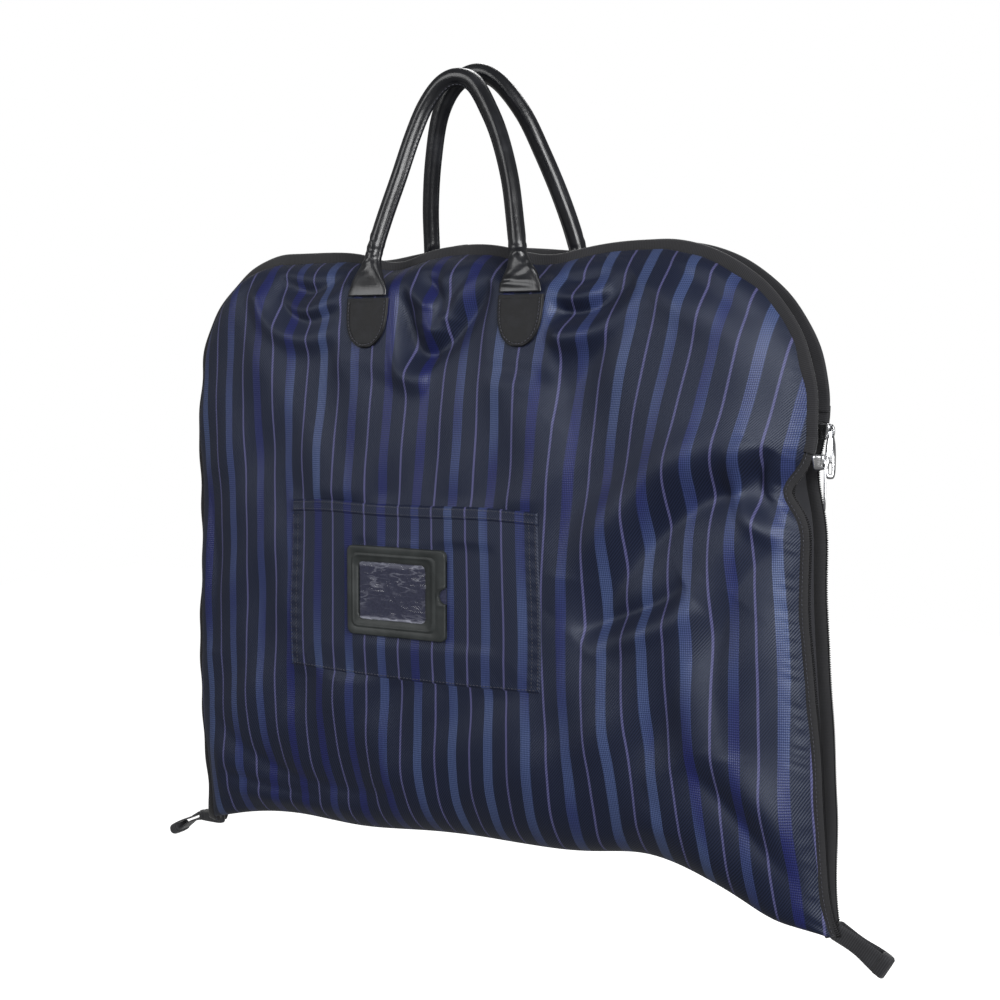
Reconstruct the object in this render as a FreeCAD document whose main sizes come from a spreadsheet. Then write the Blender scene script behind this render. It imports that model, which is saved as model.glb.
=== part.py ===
"""Folding garment bag, folded in half: two stuffed cloth halves joined along a fold at the bottom.

Frame: +X to the bag's right as seen from the front, +Y towards the back, +Z up, in millimetres.
The origin is the grip: midway between the tops of the two handles, on the level of their middle lines.
Heights in the sketches are measured up from the fold line instead, level with the two bottom corners,
and every body is then lowered by the grip's height.
Each half is a cloth tray with an open inner side, closed by a lining. The front half turns about the
fold line, so it keeps to y < 0 and the back half to y > 0 while the bag is folded.
"""

import FreeCAD, Part
import math
import os
import Sketcher

OUT_FOLDER = "parts"

# Driving sizes in millimetres: alias, value, what it is.
SIZES = [
    ("bag_width", 608, "width at the fold, over the edge tape"),
    ("bag_height", 520, "from the bottom corners to the top edge"),
    ("side_flare", 18, "how much each side comes in from the fold to the top"),
    ("shoulder_radius", 125, "rounded shoulders of the outline"),
    ("fold_arch", 30, "how far the middle of the fold rides above its corners"),
    ("half_gap", 0.5, "from the middle plane to each half"),
    ("fold_gap", 0.5, "from the level of the fold axis to each half"),
    ("band_width", 13, "edge tape, and the zip that takes its place on the right"),
    ("edge_depth", 9, "depth of each half at its sewn edge"),
    ("side_inset", 22, "cloth tray, first ring: inset from the outline"),
    ("side_depth", 26, "first ring: depth"),
    ("side_lift", 10, "first ring: how far its lower edge rises"),
    ("side_turn", 103, "first ring: radius of its shoulders"),
    ("round_inset", 38, "second ring: inset"),
    ("round_depth", 38, "second ring: depth"),
    ("round_lift", 28, "second ring: rise of the lower edge"),
    ("round_turn", 87, "second ring: shoulders"),
    ("slope_inset", 95, "third ring: inset"),
    ("slope_depth", 46, "third ring: depth"),
    ("slope_lift", 75, "third ring: rise of the lower edge"),
    ("slope_turn", 60, "third ring: shoulders"),
    ("face_inset", 150, "flat of the face: inset"),
    ("face_depth", 50, "flat of the face: depth"),
    ("face_lift", 125, "flat of the face: rise of the lower edge"),
    ("face_turn", 40, "flat of the face: shoulders"),
    ("cloth_wall", 2, "outer cloth with its foam and backing"),
    ("lining_thick", 1.2, "lining cloth"),
    ("lining_floor", 66, "lower edge of the lining, above the fold passage"),
    ("binding_thick", 4, "edge tape folded over the seam"),
    ("front_zip_drop", 160, "from the top edge down to the front half's zip"),
    ("back_zip_drop", 138, "the same for the back half's zip"),
    ("end_tab_height", 12, "cloth tab over the upper end of each zip"),
    ("tape_thick", 0.9, "zip tape"),
    ("coil_width", 4.2, "zip coil, across the tape"),
    ("coil_thick", 2.1, "each of the two zip coils"),
    ("coil_gap", 0.2, "between the two coils"),
    ("slider_length", 12, "zip slider, along the zip"),
    ("slider_wall", 1.2, "zip slider's wall"),
    ("slider_clear", 0.4, "between the slider and the coils"),
    ("slider_reach", 3.4, "how far the slider's plates reach over the tape"),
    ("crown_width", 2.4, "arch on the slider that holds the pull"),
    ("crown_length", 8, "the same, along the zip"),
    ("crown_gap", 2.6, "room under the arch"),
    ("crown_bar", 1.2, "thickness of the arch"),
    ("pull_width", 8, "zip pull"),
    ("pull_thick", 1.4, "zip pull"),
    ("pull_frame", 10, "open frame at the top of the pull"),
    ("pull_length", 36, "whole pull"),
    ("pull_rail", 1.6, "sides of the pull's frame"),
    ("pull_slot_width", 3, "slot near the pull's free end"),
    ("pull_slot_length", 8, "the same"),
    ("pull_slot_margin", 3, "from the slot to the pull's end"),
    ("pocket_width", 245, "patch pocket"),
    ("pocket_height", 142, "patch pocket"),
    ("pocket_shift", -41, "centre of the pocket, across the bag"),
    ("pocket_floor", 168, "lower edge of the pocket"),
    ("pocket_cloth", 1.2, "pocket cloth"),
    ("pocket_room", 0.6, "room behind the empty pocket"),
    ("pocket_seam", 6, "sewn margin on three sides"),
    ("hem_height", 9, "hem along the pocket's mouth"),
    ("hem_thick", 0.8, "extra thickness of the hem"),
    ("label_width", 96, "label frame"),
    ("label_height", 74, "label frame"),
    ("label_thick", 4, "label frame"),
    ("label_shift", -50, "centre of the label frame, across the bag"),
    ("label_floor", 202, "lower edge of the label frame"),
    ("label_round", 4, "corners of the label frame"),
    ("window_width", 66, "opening of the label frame"),
    ("window_height", 47, "opening of the label frame"),
    ("window_shift", -5, "the opening's centre, from the frame's centre"),
    ("window_round", 4, "corners of the opening"),
    ("film_thick", 0.5, "clear film behind the opening"),
    ("backing_thick", 0.6, "plate behind the card"),
    ("card_width", 84, "paper card"),
    ("card_height", 56, "paper card"),
    ("card_thick", 0.5, "paper card"),
    ("card_clear", 0.3, "room round the card"),
    ("notch_radius", 6, "thumb notch in the frame's right side"),
    ("grip_diameter", 15, "rolled handle"),
    ("core_diameter", 11, "rope inside the handle"),
    ("leg_spread", 145, "between the middles of a handle's feet"),
    ("arch_radius", 42, "top of the handle, along its middle line"),
    ("handle_length", 175, "from the crease to the top of the middle line"),
    ("handle_gap", 3, "from the middle plane to each handle's top"),
    ("front_handle_shift", -14, "middle of the front handle, across the bag"),
    ("foot_height", 30, "part of the handle that is pressed flat"),
    ("foot_width", 40, "handle where it meets its patch"),
    ("foot_thick", 2.4, "the same"),
    ("crease_clear", 2.5, "from the crease to the foot and to the patch"),
    ("crease_room", 1, "between the cloth and a handle's foot"),
    ("crease_inset", 40, "height of the crease below the top edge"),
    ("patch_width", 42, "patch under a handle's foot"),
    ("patch_height", 40, "patch under a handle's foot"),
    ("patch_thick", 1.6, "patch under a handle's foot"),
    ("backing_width", 50, "stiffener inside, behind each patch"),
    ("backing_height", 40, "the same"),
    ("stiffener_thick", 1.5, "the same"),
    ("stiffener_clear", 0.8, "between the stiffener and the cloth"),
    ("web_width", 16, "webbing of the corner loops"),
    ("web_thick", 1.4, "the same"),
    ("left_loop_length", 30, "corner loop, between the middles of its ends"),
    ("right_loop_length", 42, "the same"),
    ("loop_gap", 6.2, "inside a corner loop"),
    ("left_droop", 38, "how far the left loop points below level, in degrees"),
    ("right_droop", 30, "the same for the right loop"),
    ("loop_clear", 0.8, "between a corner loop and the corner"),
    ("hook_slot_width", 40, "opening for a hanger's hook, in the back half's top seam"),
]
FRONT, BACK = -1, 1


class Size:
    """A number with the expression text that gives it, so that one formula places and binds."""

    def __init__(self, value, text):
        self.value = value
        self.text = text

    def join(self, other, sign, value):
        text = other.text if isinstance(other, Size) else repr(other)
        return Size(value, f"({self.text} {sign} {text})")

    def __add__(self, other):
        return self.join(other, "+", self.value + number(other))

    def __sub__(self, other):
        return self.join(other, "-", self.value - number(other))

    def __mul__(self, other):
        return self.join(other, "*", self.value * number(other))

    def __truediv__(self, other):
        return self.join(other, "/", self.value / number(other))

    def __rsub__(self, other):
        return -self + other

    def __neg__(self):
        return Size(-self.value, f"(-1 * {self.text})")


def number(size):
    return size.value if isinstance(size, Size) else size


def as_size(size):
    return size if isinstance(size, Size) else Size(size, repr(size))


def arc_sine(ratio):
    """The angle in degrees whose sine is ratio."""
    return Size(math.degrees(math.asin(ratio.value)), f"asin({ratio.text})")


def arc_tangent(ratio):
    return Size(math.degrees(math.atan(ratio.value)), f"atan({ratio.text})")


doc = FreeCAD.newDocument("garment_bag")
sheet = doc.addObject("Spreadsheet::Sheet", "Sizes")
size = {}
for row, (alias, value, note) in enumerate(SIZES, start=1):
    sheet.set(f"A{row}", alias)
    sheet.set(f"B{row}", str(value))
    sheet.setAlias(f"B{row}", alias)
    sheet.set(f"C{row}", note)
    size[alias] = Size(value, f"Sizes.{alias}")
doc.recompute()


def bind(thing, name, value):
    """Sets a property to a size's value and keeps it tied to the sheet."""
    thing.setExpression(name, as_size(value).text)


def grip_height():
    """Height of the handles' tops above the fold line, where the bag is held."""
    lean = handle_run() / size["handle_length"]
    rise = Size(math.sqrt(1 - lean.value**2), f"sqrt(1 - {lean.text} ^ 2)")
    return size["bag_height"] - size["crease_inset"] + size["handle_length"] * rise


def set_height(body, height):
    """Puts a body's own origin at a height above the fold line."""
    bind(body, "Placement.Base.z", height - grip_height())


def make_body(label):
    body = doc.addObject("PartDesign::Body", label)
    body.Label = label
    set_height(body, as_size(0))
    return body


def plane_of(body, role):
    return next(o for o in body.Origin.OriginFeatures if o.Role == role)


def rounding(before, corner, after, radius):
    """Where a rounded corner leaves its two lines, its centre, and whether it turns left."""
    towards_before = (before - corner).normalize()
    towards_after = (after - corner).normalize()
    half_angle = towards_before.getAngle(towards_after) / 2
    run = radius / math.tan(half_angle)
    bisector = (towards_before + towards_after).normalize()
    centre = corner + bisector * (radius / math.sin(half_angle))
    turns_left = (corner - before).cross(after - corner).z > 0
    return corner + towards_before * run, corner + towards_after * run, centre, turns_left


def new_sketch(body, name, role="XZ_Plane", depth=0):
    """A sketch on one of the body's own planes, moved along that plane's normal."""
    sketch = body.newObject("Sketcher::SketchObject", name)
    sketch.AttachmentSupport = [(plane_of(body, role), "")]
    sketch.MapMode = "FlatFace"
    bind(sketch, "AttachmentOffset.Base.z", depth)
    return sketch


def fix_point(sketch, geometry, end, across, up):
    """Ties one point of a sketch to its distances from the sketch's origin."""
    for kind, distance in (("DistanceX", across), ("DistanceY", up)):
        distance = as_size(distance)
        index = sketch.addConstraint(
            Sketcher.Constraint(kind, -1, 1, geometry, end, distance.value)
        )
        bind(sketch, f"Constraints[{index}]", distance)


def draw_outline(sketch, corners):
    """Draws a closed outline, and ties it to the sheet.

    A corner is (x, y) for a sharp one or (x, y, radius) for a rounded one. Between two sharp corners,
    ("through", x, y) makes the edge an arc through that point.
    """
    stops = [c for c in corners if c[0] != "through"]
    middles = {}
    for place, corner in enumerate(corners):
        if corner[0] == "through":
            middles[len([c for c in corners[:place] if c[0] != "through"]) - 1] = corner[1:]
    spots = [FreeCAD.Vector(number(c[0]), number(c[1]), 0) for c in stops]
    count = len(stops)
    leave, arrive, rounds = list(spots), list(spots), {}
    for i, corner in enumerate(stops):
        if len(corner) == 3:
            found = rounding(spots[i - 1], spots[i], spots[(i + 1) % count], number(corner[2]))
            arrive[i], leave[i] = found[0], found[1]
            rounds[i] = found[2:]
    marks = []
    for spot in spots:
        marks.append(sketch.addGeometry(Part.Point(spot), True))
    for mark, corner in zip(marks, stops):
        fix_point(sketch, mark, 1, corner[0], corner[1])
    edges = []
    for i in range(count):
        start, end = leave[i], arrive[(i + 1) % count]
        if i in middles:
            middle = FreeCAD.Vector(number(middles[i][0]), number(middles[i][1]), 0)
            edge = sketch.addGeometry(Part.Arc(start, middle, end), False)
            swapped = sketch.getPoint(edge, 1).distanceToPoint(start) > 1e-6
            mark = sketch.addGeometry(Part.Point(middle), True)
            fix_point(sketch, mark, 1, *middles[i])
            sketch.addConstraint(Sketcher.Constraint("PointOnObject", mark, 1, edge))
            edges.append((edge, 2 if swapped else 1, 1 if swapped else 2))
        else:
            edges.append((sketch.addGeometry(Part.LineSegment(start, end), False), 1, 2))
    for i, corner in enumerate(stops):
        before, after = edges[i - 1], edges[i]
        if i not in rounds:
            sketch.addConstraint(
                [
                    Sketcher.Constraint("Coincident", before[0], before[2], marks[i], 1),
                    Sketcher.Constraint("Coincident", after[0], after[1], marks[i], 1),
                ]
            )
            continue
        centre, turns_left = rounds[i]
        radius = as_size(corner[2])
        first, last = (arrive[i], leave[i]) if turns_left else (leave[i], arrive[i])
        angles = [math.atan2(p.y - centre.y, p.x - centre.x) for p in (first, last)]
        if angles[1] < angles[0]:
            angles[1] += 2 * math.pi
        circle = Part.Circle(centre, FreeCAD.Vector(0, 0, 1), radius.value)
        arc = sketch.addGeometry(Part.ArcOfCircle(circle, *angles), False)
        starts, ends = (1, 2) if turns_left else (2, 1)
        sketch.addConstraint(
            [
                Sketcher.Constraint("Tangent", before[0], before[2], arc, starts),
                Sketcher.Constraint("Tangent", arc, ends, after[0], after[1]),
                Sketcher.Constraint("PointOnObject", marks[i], 1, before[0]),
                Sketcher.Constraint("PointOnObject", marks[i], 1, after[0]),
            ]
        )
        index = sketch.addConstraint(Sketcher.Constraint("Radius", arc, radius.value))
        bind(sketch, f"Constraints[{index}]", radius)


def draw_circle(sketch, across, up, diameter):
    centre = FreeCAD.Vector(number(across), number(up), 0)
    circle = sketch.addGeometry(
        Part.Circle(centre, FreeCAD.Vector(0, 0, 1), number(diameter) / 2), False
    )
    fix_point(sketch, circle, 3, across, up)
    index = sketch.addConstraint(Sketcher.Constraint("Diameter", circle, number(diameter)))
    bind(sketch, f"Constraints[{index}]", diameter)


def box_corners(left, right, low, high, radius=None):
    corners = [(left, low), (right, low), (right, high), (left, high)]
    return corners if radius is None else [(*c, radius) for c in corners]


def pad(body, name, sketch, length, backwards=False):
    feature = body.newObject("PartDesign::Pad", name)
    feature.Profile = sketch
    bind(feature, "Length", length)
    feature.Reversed = backwards
    return feature


def pocket(body, name, sketch, length, backwards=False):
    """Cuts a sketch out of the body, on the side that a pad of the same sketch would fill."""
    feature = body.newObject("PartDesign::Pocket", name)
    feature.Profile = sketch
    bind(feature, "Length", length)
    feature.Reversed = not backwards
    return feature


def slab(body, name, side, near, far, corners):
    """Material between two depths from the middle plane, on the front or the back side."""
    sketch = new_sketch(body, name + "_outline", depth=-near * side if side == BACK else near)
    draw_outline(sketch, corners)
    return pad(body, name, sketch, far - near, backwards=side == BACK)


def slot(body, name, side, near, far, corners):
    """Takes material away between two depths from the middle plane."""
    sketch = new_sketch(body, name + "_outline", depth=-near * side if side == BACK else near)
    draw_outline(sketch, corners)
    return pocket(body, name, sketch, far - near, backwards=side == BACK)


def side_at(height):
    """Half the bag's width at a height."""
    return size["bag_width"] / 2 - size["side_flare"] * (height / size["bag_height"])


def bag_outline(inset, lift, radius):
    """The bag's outline, taken in all round, with its lower edge raised as well."""
    low = size["fold_gap"] + lift
    top = size["bag_height"] - inset
    return [
        (-(side_at(low) - inset), low),
        ("through", 0, size["fold_arch"] + low),
        (side_at(low) - inset, low),
        (side_at(top) - inset, top, radius),
        (-(side_at(top) - inset), top, radius),
    ]


RINGS = ["side", "round", "slope", "face"]


def tray_sections(body, name, side, wall):
    """Sketches of the cloth tray from its sewn edge to its flat face, inset by a wall."""
    band = size["band_width"]
    places = [(band, size["edge_depth"], as_size(0), size["shoulder_radius"] - band)]
    for ring in RINGS:
        inset, depth, lift, turn = (
            size[ring + "_" + kind] for kind in ("inset", "depth", "lift", "turn")
        )
        places.append((inset, depth - wall, lift, turn))
    sketches = []
    for place, (inset, depth, lift, turn) in enumerate(places):
        sketch = new_sketch(body, f"{name}_{place}", depth=-depth if side == BACK else depth)
        draw_outline(sketch, bag_outline(inset + wall, lift + wall, turn - wall))
        sketches.append(sketch)
    return sketches


def loft(body, kind, name, sketches):
    feature = body.newObject(kind, name)
    feature.Profile = sketches[0]
    feature.Sections = sketches[1:]
    feature.Ruled = True
    return feature


def make_tray(label, side):
    """Outer cloth of one half: a shallow tray, open towards the other half."""
    body = make_body(label)
    band, wall = size["band_width"], size["cloth_wall"]
    turn = size["shoulder_radius"] - band
    slab(body, "foot", side, size["half_gap"], size["edge_depth"], bag_outline(band, 0, turn))
    outside = tray_sections(body, "outside", side, as_size(0))
    loft(body, "PartDesign::AdditiveLoft", "dome", outside)
    slot(
        body, "foot_hollow", side, size["half_gap"], size["edge_depth"],
        bag_outline(band + wall, wall, turn - wall),
    )
    inside = tray_sections(body, "inside", side, wall)
    loft(body, "PartDesign::SubtractiveLoft", "dome_hollow", inside)
    return body


def make_lining(label, side):
    """Flat cloth that closes a tray's open side, down to the passage at the fold."""
    body = make_body(label)
    inset = size["band_width"] + size["cloth_wall"]
    low, top = size["lining_floor"], size["bag_height"] - inset
    radius = size["shoulder_radius"] - inset
    corners = [
        (-(side_at(low) - inset), low),
        (side_at(low) - inset, low),
        (side_at(top) - inset, top, radius),
        (-(side_at(top) - inset), top, radius),
    ]
    near = size["half_gap"]
    slab(body, "cloth", side, near, near + size["lining_thick"], corners)
    return body


def binding_near():
    return size["edge_depth"] - size["binding_thick"]


def make_binding(label, side, right_end):
    """Edge tape: up the left side, over the shoulders, and down the right to the zip's end tab."""
    body = make_body(label)
    low, top, band = size["fold_gap"], size["bag_height"], size["band_width"]
    radius = size["shoulder_radius"]
    inner_top = top - band
    corners = [
        (-side_at(low), low),
        (-(side_at(low) - band), low),
        (-(side_at(inner_top) - band), inner_top, radius - band),
        (side_at(inner_top) - band, inner_top, radius - band),
        (side_at(right_end) - band, right_end),
        (side_at(right_end), right_end),
        (side_at(top), top, radius),
        (-side_at(top), top, radius),
    ]
    slab(body, "tape", side, binding_near(), size["edge_depth"], corners)
    return body


def side_strip(label, side, near, far, inner, outer, low, high):
    """A strip along the right side, between two distances in from the outline."""
    body = make_body(label)
    corners = [
        (side_at(low) - inner, low),
        (side_at(low) - outer, low),
        (side_at(high) - outer, high),
        (side_at(high) - inner, high),
    ]
    slab(body, "strip", side, near, far, corners)
    return body


def make_zip(prefix, side, top):
    """Two tapes with a coil each, and the cloth tab over their upper end."""
    low, band, outermost = size["fold_gap"], size["band_width"], size["edge_depth"]
    coil, tape = size["coil_thick"], size["tape_thick"]
    inner_far = outermost - coil - size["coil_gap"]
    inner_near = inner_far - coil
    rows = [
        ("outer_zip_tape", outermost - tape, outermost, band, size["coil_width"]),
        ("outer_zip_coil", outermost - coil, outermost, size["coil_width"], as_size(0)),
        ("inner_zip_coil", inner_near, inner_far, size["coil_width"], as_size(0)),
        ("inner_zip_tape", inner_near, inner_near + tape, band, size["coil_width"]),
    ]
    made = [
        side_strip(f"{prefix}_{name}", side, near, far, inner, outer, low, top)
        for name, near, far, inner, outer in rows
    ]
    tab_top = top + size["end_tab_height"]
    made.append(
        side_strip(
            f"{prefix}_zip_end_tab", side, inner_near, outermost, band, as_size(0), top, tab_top
        )
    )
    return made


def zip_slant():
    """How far the right side leans from upright, in degrees."""
    return arc_tangent(size["side_flare"] / size["bag_height"])


def slider_middle(top):
    return top - size["slider_length"] / 2 - size["slider_clear"]


def coil_centre_depth():
    return size["edge_depth"] - size["coil_thick"] - size["coil_gap"] / 2


def place_on_zip(body, side, top):
    """Puts a body's origin on the middle of the coils, leaning with the zip."""
    height = slider_middle(top)
    depth = coil_centre_depth()
    body.Placement.Rotation = FreeCAD.Rotation(FreeCAD.Vector(0, 1, 0), 1)
    bind(body, "Placement.Base.x", side_at(height) - size["coil_width"] / 2)
    bind(body, "Placement.Base.y", depth if side == BACK else -depth)
    set_height(body, height)
    bind(body, "Placement.Rotation.Angle", -zip_slant())


def slider_outer():
    """From the coils' middle to the slider's outer face."""
    return size["coil_width"] / 2 + size["slider_clear"] + size["slider_wall"]


def make_slider(label, side, top):
    """Zip slider: a channel round both coils, open towards the tapes, with an arch for the pull."""
    body = make_body(label)
    clear, wall = size["slider_clear"], size["slider_wall"]
    channel = size["coil_thick"] + size["coil_gap"] / 2 + clear
    outside = channel + wall
    reach = size["slider_reach"]
    inner_x = slider_outer() - wall
    corners = [
        (-reach, -outside), (slider_outer(), -outside), (slider_outer(), outside),
        (-reach, outside), (-reach, channel), (inner_x, channel),
        (inner_x, -channel), (-reach, -channel),
    ]
    half = size["slider_length"] / 2
    channel_sketch = new_sketch(body, "channel_outline", "XY_Plane", -half)
    draw_outline(channel_sketch, corners)
    pad(body, "channel", channel_sketch, size["slider_length"])
    crown_top = slider_outer() + size["crown_gap"] + size["crown_bar"]
    long = size["crown_length"] / 2
    crown = [
        (slider_outer(), -long), (crown_top, -long), (crown_top, long), (slider_outer(), long),
        (slider_outer(), long - size["crown_bar"]),
        (crown_top - size["crown_bar"], long - size["crown_bar"]),
        (crown_top - size["crown_bar"], size["crown_bar"] - long),
        (slider_outer(), size["crown_bar"] - long),
    ]
    crown_sketch = new_sketch(body, "crown_outline", "XZ_Plane", -size["crown_width"] / 2)
    draw_outline(crown_sketch, crown)
    pad(body, "crown", crown_sketch, size["crown_width"])
    place_on_zip(body, side, top)
    return body


def pull_axis():
    """From the coils' middle to the bar of the pull, under the slider's arch."""
    return slider_outer() + size["crown_gap"] / 2


def make_pull(label, side, top):
    """Zip pull: an open frame whose top bar runs under the arch, and a slotted tab."""
    body = make_body(label)
    half, thick, rail = size["pull_width"] / 2, size["pull_thick"], size["pull_rail"]
    bar = thick / 2
    tab_sketch = new_sketch(body, "tab_outline", "YZ_Plane", pull_axis() - thick / 2)
    draw_outline(tab_sketch, box_corners(-half, half, bar - size["pull_length"], bar))
    pad(body, "tab", tab_sketch, thick)
    frame_sketch = new_sketch(body, "frame_outline", "YZ_Plane", pull_axis() - thick / 2)
    draw_outline(
        frame_sketch, box_corners(rail - half, half - rail, -size["pull_frame"], -bar)
    )
    pocket(body, "frame_opening", frame_sketch, thick)
    slot_half = size["pull_slot_width"] / 2
    slot_low = bar - size["pull_length"] + size["pull_slot_margin"]
    slot_sketch = new_sketch(body, "slot_outline", "YZ_Plane", pull_axis() - thick / 2)
    draw_outline(
        slot_sketch,
        box_corners(-slot_half, slot_half, slot_low, slot_low + size["pull_slot_length"]),
    )
    pocket(body, "slot", slot_sketch, thick)
    place_on_zip(body, side, top)
    return body


def make_pocket():
    """Patch pocket, sewn on three sides, and the hem along its open mouth."""
    left = size["pocket_shift"] - size["pocket_width"] / 2
    right = size["pocket_shift"] + size["pocket_width"] / 2
    low = size["pocket_floor"]
    high = low + size["pocket_height"]
    near = size["face_depth"]
    room = near + size["pocket_room"]
    far = room + size["pocket_cloth"]
    body = make_body("pocket_panel")
    seam = size["pocket_seam"]
    slab(body, "cloth", FRONT, near, far, box_corners(left, right, low, high))
    slot(
        body, "room", FRONT, near, room, box_corners(left + seam, right - seam, low + seam, high)
    )
    hem = make_body("pocket_hem")
    slab(
        hem, "fold", FRONT, far, far + size["hem_thick"],
        box_corners(left, right, high - size["hem_height"], high),
    )
    return body, hem


def label_back():
    """Depth of the pocket's outer face, where the label frame is welded on."""
    return size["face_depth"] + size["pocket_room"] + size["pocket_cloth"]


def label_layers():
    """Depths of the layers in the label frame, from its back to its opening."""
    plate_far = label_back() + size["backing_thick"]
    card_near = plate_far + size["card_clear"]
    card_far = card_near + size["card_thick"]
    film_near = card_far + size["card_clear"]
    film_far = film_near + size["film_thick"]
    return plate_far, card_near, card_far, film_near, film_far


def make_label():
    """Label frame with its backing plate, clear film and paper card. The card leaves to the right."""
    centre = size["label_shift"]
    half = size["label_width"] / 2
    low = size["label_floor"]
    high = low + size["label_height"]
    middle = (low + high) / 2
    plate_far, card_near, card_far, film_near, film_far = label_layers()
    back, front = label_back(), label_back() + size["label_thick"]
    room_half = size["card_height"] / 2 + size["card_clear"]
    right = centre + half
    room_left = right - size["card_width"] - size["card_clear"]

    frame = make_body("label_frame")
    slab(
        frame, "bezel", FRONT, back, front,
        box_corners(centre - half, right, low, high, size["label_round"]),
    )
    slot(
        frame, "card_room", FRONT, back, film_far,
        box_corners(room_left, right + size["card_clear"], middle - room_half, middle + room_half),
    )
    window_centre = centre + size["window_shift"]
    window_half = size["window_width"] / 2
    window_up = size["window_height"] / 2
    slot(
        frame, "window", FRONT, back, front,
        box_corners(
            window_centre - window_half, window_centre + window_half,
            middle - window_up, middle + window_up, size["window_round"],
        ),
    )
    notch = new_sketch(frame, "notch_outline", depth=back)
    draw_circle(notch, right, middle, size["notch_radius"] * 2)
    pocket(frame, "thumb_notch", notch, size["label_thick"])

    plate = make_body("label_backing")
    slab(
        plate, "plate", FRONT, back, plate_far,
        box_corners(room_left, right, middle - room_half, middle + room_half),
    )
    film = make_body("label_film")
    film_sketch = new_sketch(film, "sheet_outline", depth=film_near)
    draw_outline(
        film_sketch,
        box_corners(
            room_left, right - size["notch_radius"] - size["card_clear"],
            middle - room_half, middle + room_half,
        ),
    )
    pad(film, "sheet", film_sketch, size["film_thick"])
    card = make_body("label_card")
    slab(
        card, "paper", FRONT, card_near, card_far,
        box_corners(
            room_left + size["card_clear"], right,
            middle - size["card_height"] / 2, middle + size["card_height"] / 2,
        ),
    )
    return frame, plate, film, card


def slope_angle():
    """How far the cloth under the handle patches leans back, in degrees."""
    rise = size["slope_inset"] - size["round_inset"]
    return arc_tangent((size["slope_depth"] - size["round_depth"]) / rise)


def slope_depth_at(drop):
    """Depth of that cloth at a distance below the top edge."""
    share = (drop - size["round_inset"]) / (size["slope_inset"] - size["round_inset"])
    return size["round_depth"] + (size["slope_depth"] - size["round_depth"]) * share


def place_on_slope(body, side, drop, lean, depth):
    """Puts a body's origin at a distance below the top edge and leans it over the bag."""
    body.Placement.Rotation = FreeCAD.Rotation(FreeCAD.Vector(1, 0, 0), 1)
    if side == FRONT:
        bind(body, "Placement.Base.x", size["front_handle_shift"])
    bind(body, "Placement.Base.y", depth if side == BACK else -depth)
    set_height(body, size["bag_height"] - drop)
    bind(body, "Placement.Rotation.Angle", lean if side == BACK else -lean)


def make_patch(label, side, hand):
    """Tongue-shaped patch sewn to the cloth, below the crease that the handle turns on."""
    body = make_body(label)
    centre = size["leg_spread"] / 2 * hand
    half = size["patch_width"] / 2
    top = -size["crease_clear"]
    low = top - size["patch_height"]
    turn = low + half
    corners = [
        (centre - half, turn),
        ("through", centre, low),
        (centre + half, turn),
        (centre + half, top),
        (centre - half, top),
    ]
    slab(body, "tongue", side, as_size(0), size["patch_thick"], corners)
    drop = size["crease_inset"]
    place_on_slope(body, side, drop, slope_angle(), slope_depth_at(drop))
    return body


def make_stiffener(label, side, hand):
    """Stiff pad inside the tray, behind a handle patch."""
    body = make_body(label)
    centre = size["leg_spread"] / 2 * hand
    half = size["backing_width"] / 2
    low = -size["crease_clear"] - size["backing_height"]
    near = size["cloth_wall"] + size["stiffener_clear"]
    taper = size["crease_clear"] * 2
    slab(
        body, "pad", -side, near, near + size["stiffener_thick"],
        box_corners(centre - half, centre + half, low, low + size["backing_height"] - taper),
    )
    drop = size["crease_inset"]
    place_on_slope(body, side, drop, slope_angle(), slope_depth_at(drop))
    return body


def handle_depth():
    """Depth of the crease that a handle turns on, in the middle of the foot's thickness."""
    cloth = slope_depth_at(size["crease_inset"])
    return cloth + size["crease_room"] + size["foot_thick"] / 2


def handle_run():
    """How far a handle's top comes in from its crease, to end a gap away from the middle plane."""
    return handle_depth() - size["grip_diameter"] / 2 - size["handle_gap"]


def handle_lean():
    return arc_sine(handle_run() / size["handle_length"])


def leg_start():
    """Half the distance between the handle's legs where their flat feet end."""
    arch_centre = size["handle_length"] - size["arch_radius"]
    return size["leg_spread"] / 2 - (
        (size["leg_spread"] / 2 - size["arch_radius"]) * (size["foot_height"] / arch_centre)
    )


def draw_arch(sketch):
    """The handle's middle line: two leaning legs and a round top."""
    half, up = leg_start(), size["foot_height"]
    radius = size["arch_radius"]
    centre = FreeCAD.Vector(0, number(size["handle_length"] - radius), 0)
    foot = FreeCAD.Vector(number(half), number(up), 0)
    reach = (foot - centre).Length
    tilt = math.atan2(foot.y - centre.y, foot.x - centre.x) + math.acos(radius.value / reach)
    touch = centre + FreeCAD.Vector(math.cos(tilt), math.sin(tilt), 0) * radius.value
    mirrored = FreeCAD.Vector(-touch.x, touch.y, 0)
    right = sketch.addGeometry(Part.LineSegment(foot, touch), False)
    circle = Part.Circle(centre, FreeCAD.Vector(0, 0, 1), radius.value)
    arc = sketch.addGeometry(Part.ArcOfCircle(circle, tilt, math.pi - tilt), False)
    left_foot = FreeCAD.Vector(-foot.x, foot.y, 0)
    left = sketch.addGeometry(Part.LineSegment(mirrored, left_foot), False)
    fix_point(sketch, right, 1, half, up)
    fix_point(sketch, left, 2, -half, up)
    sketch.addConstraint(
        [
            Sketcher.Constraint("Tangent", right, 2, arc, 1),
            Sketcher.Constraint("Tangent", arc, 2, left, 1),
            Sketcher.Constraint("PointOnObject", arc, 3, -2),
        ]
    )
    index = sketch.addConstraint(Sketcher.Constraint("Radius", arc, radius.value))
    bind(sketch, f"Constraints[{index}]", radius)


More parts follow.
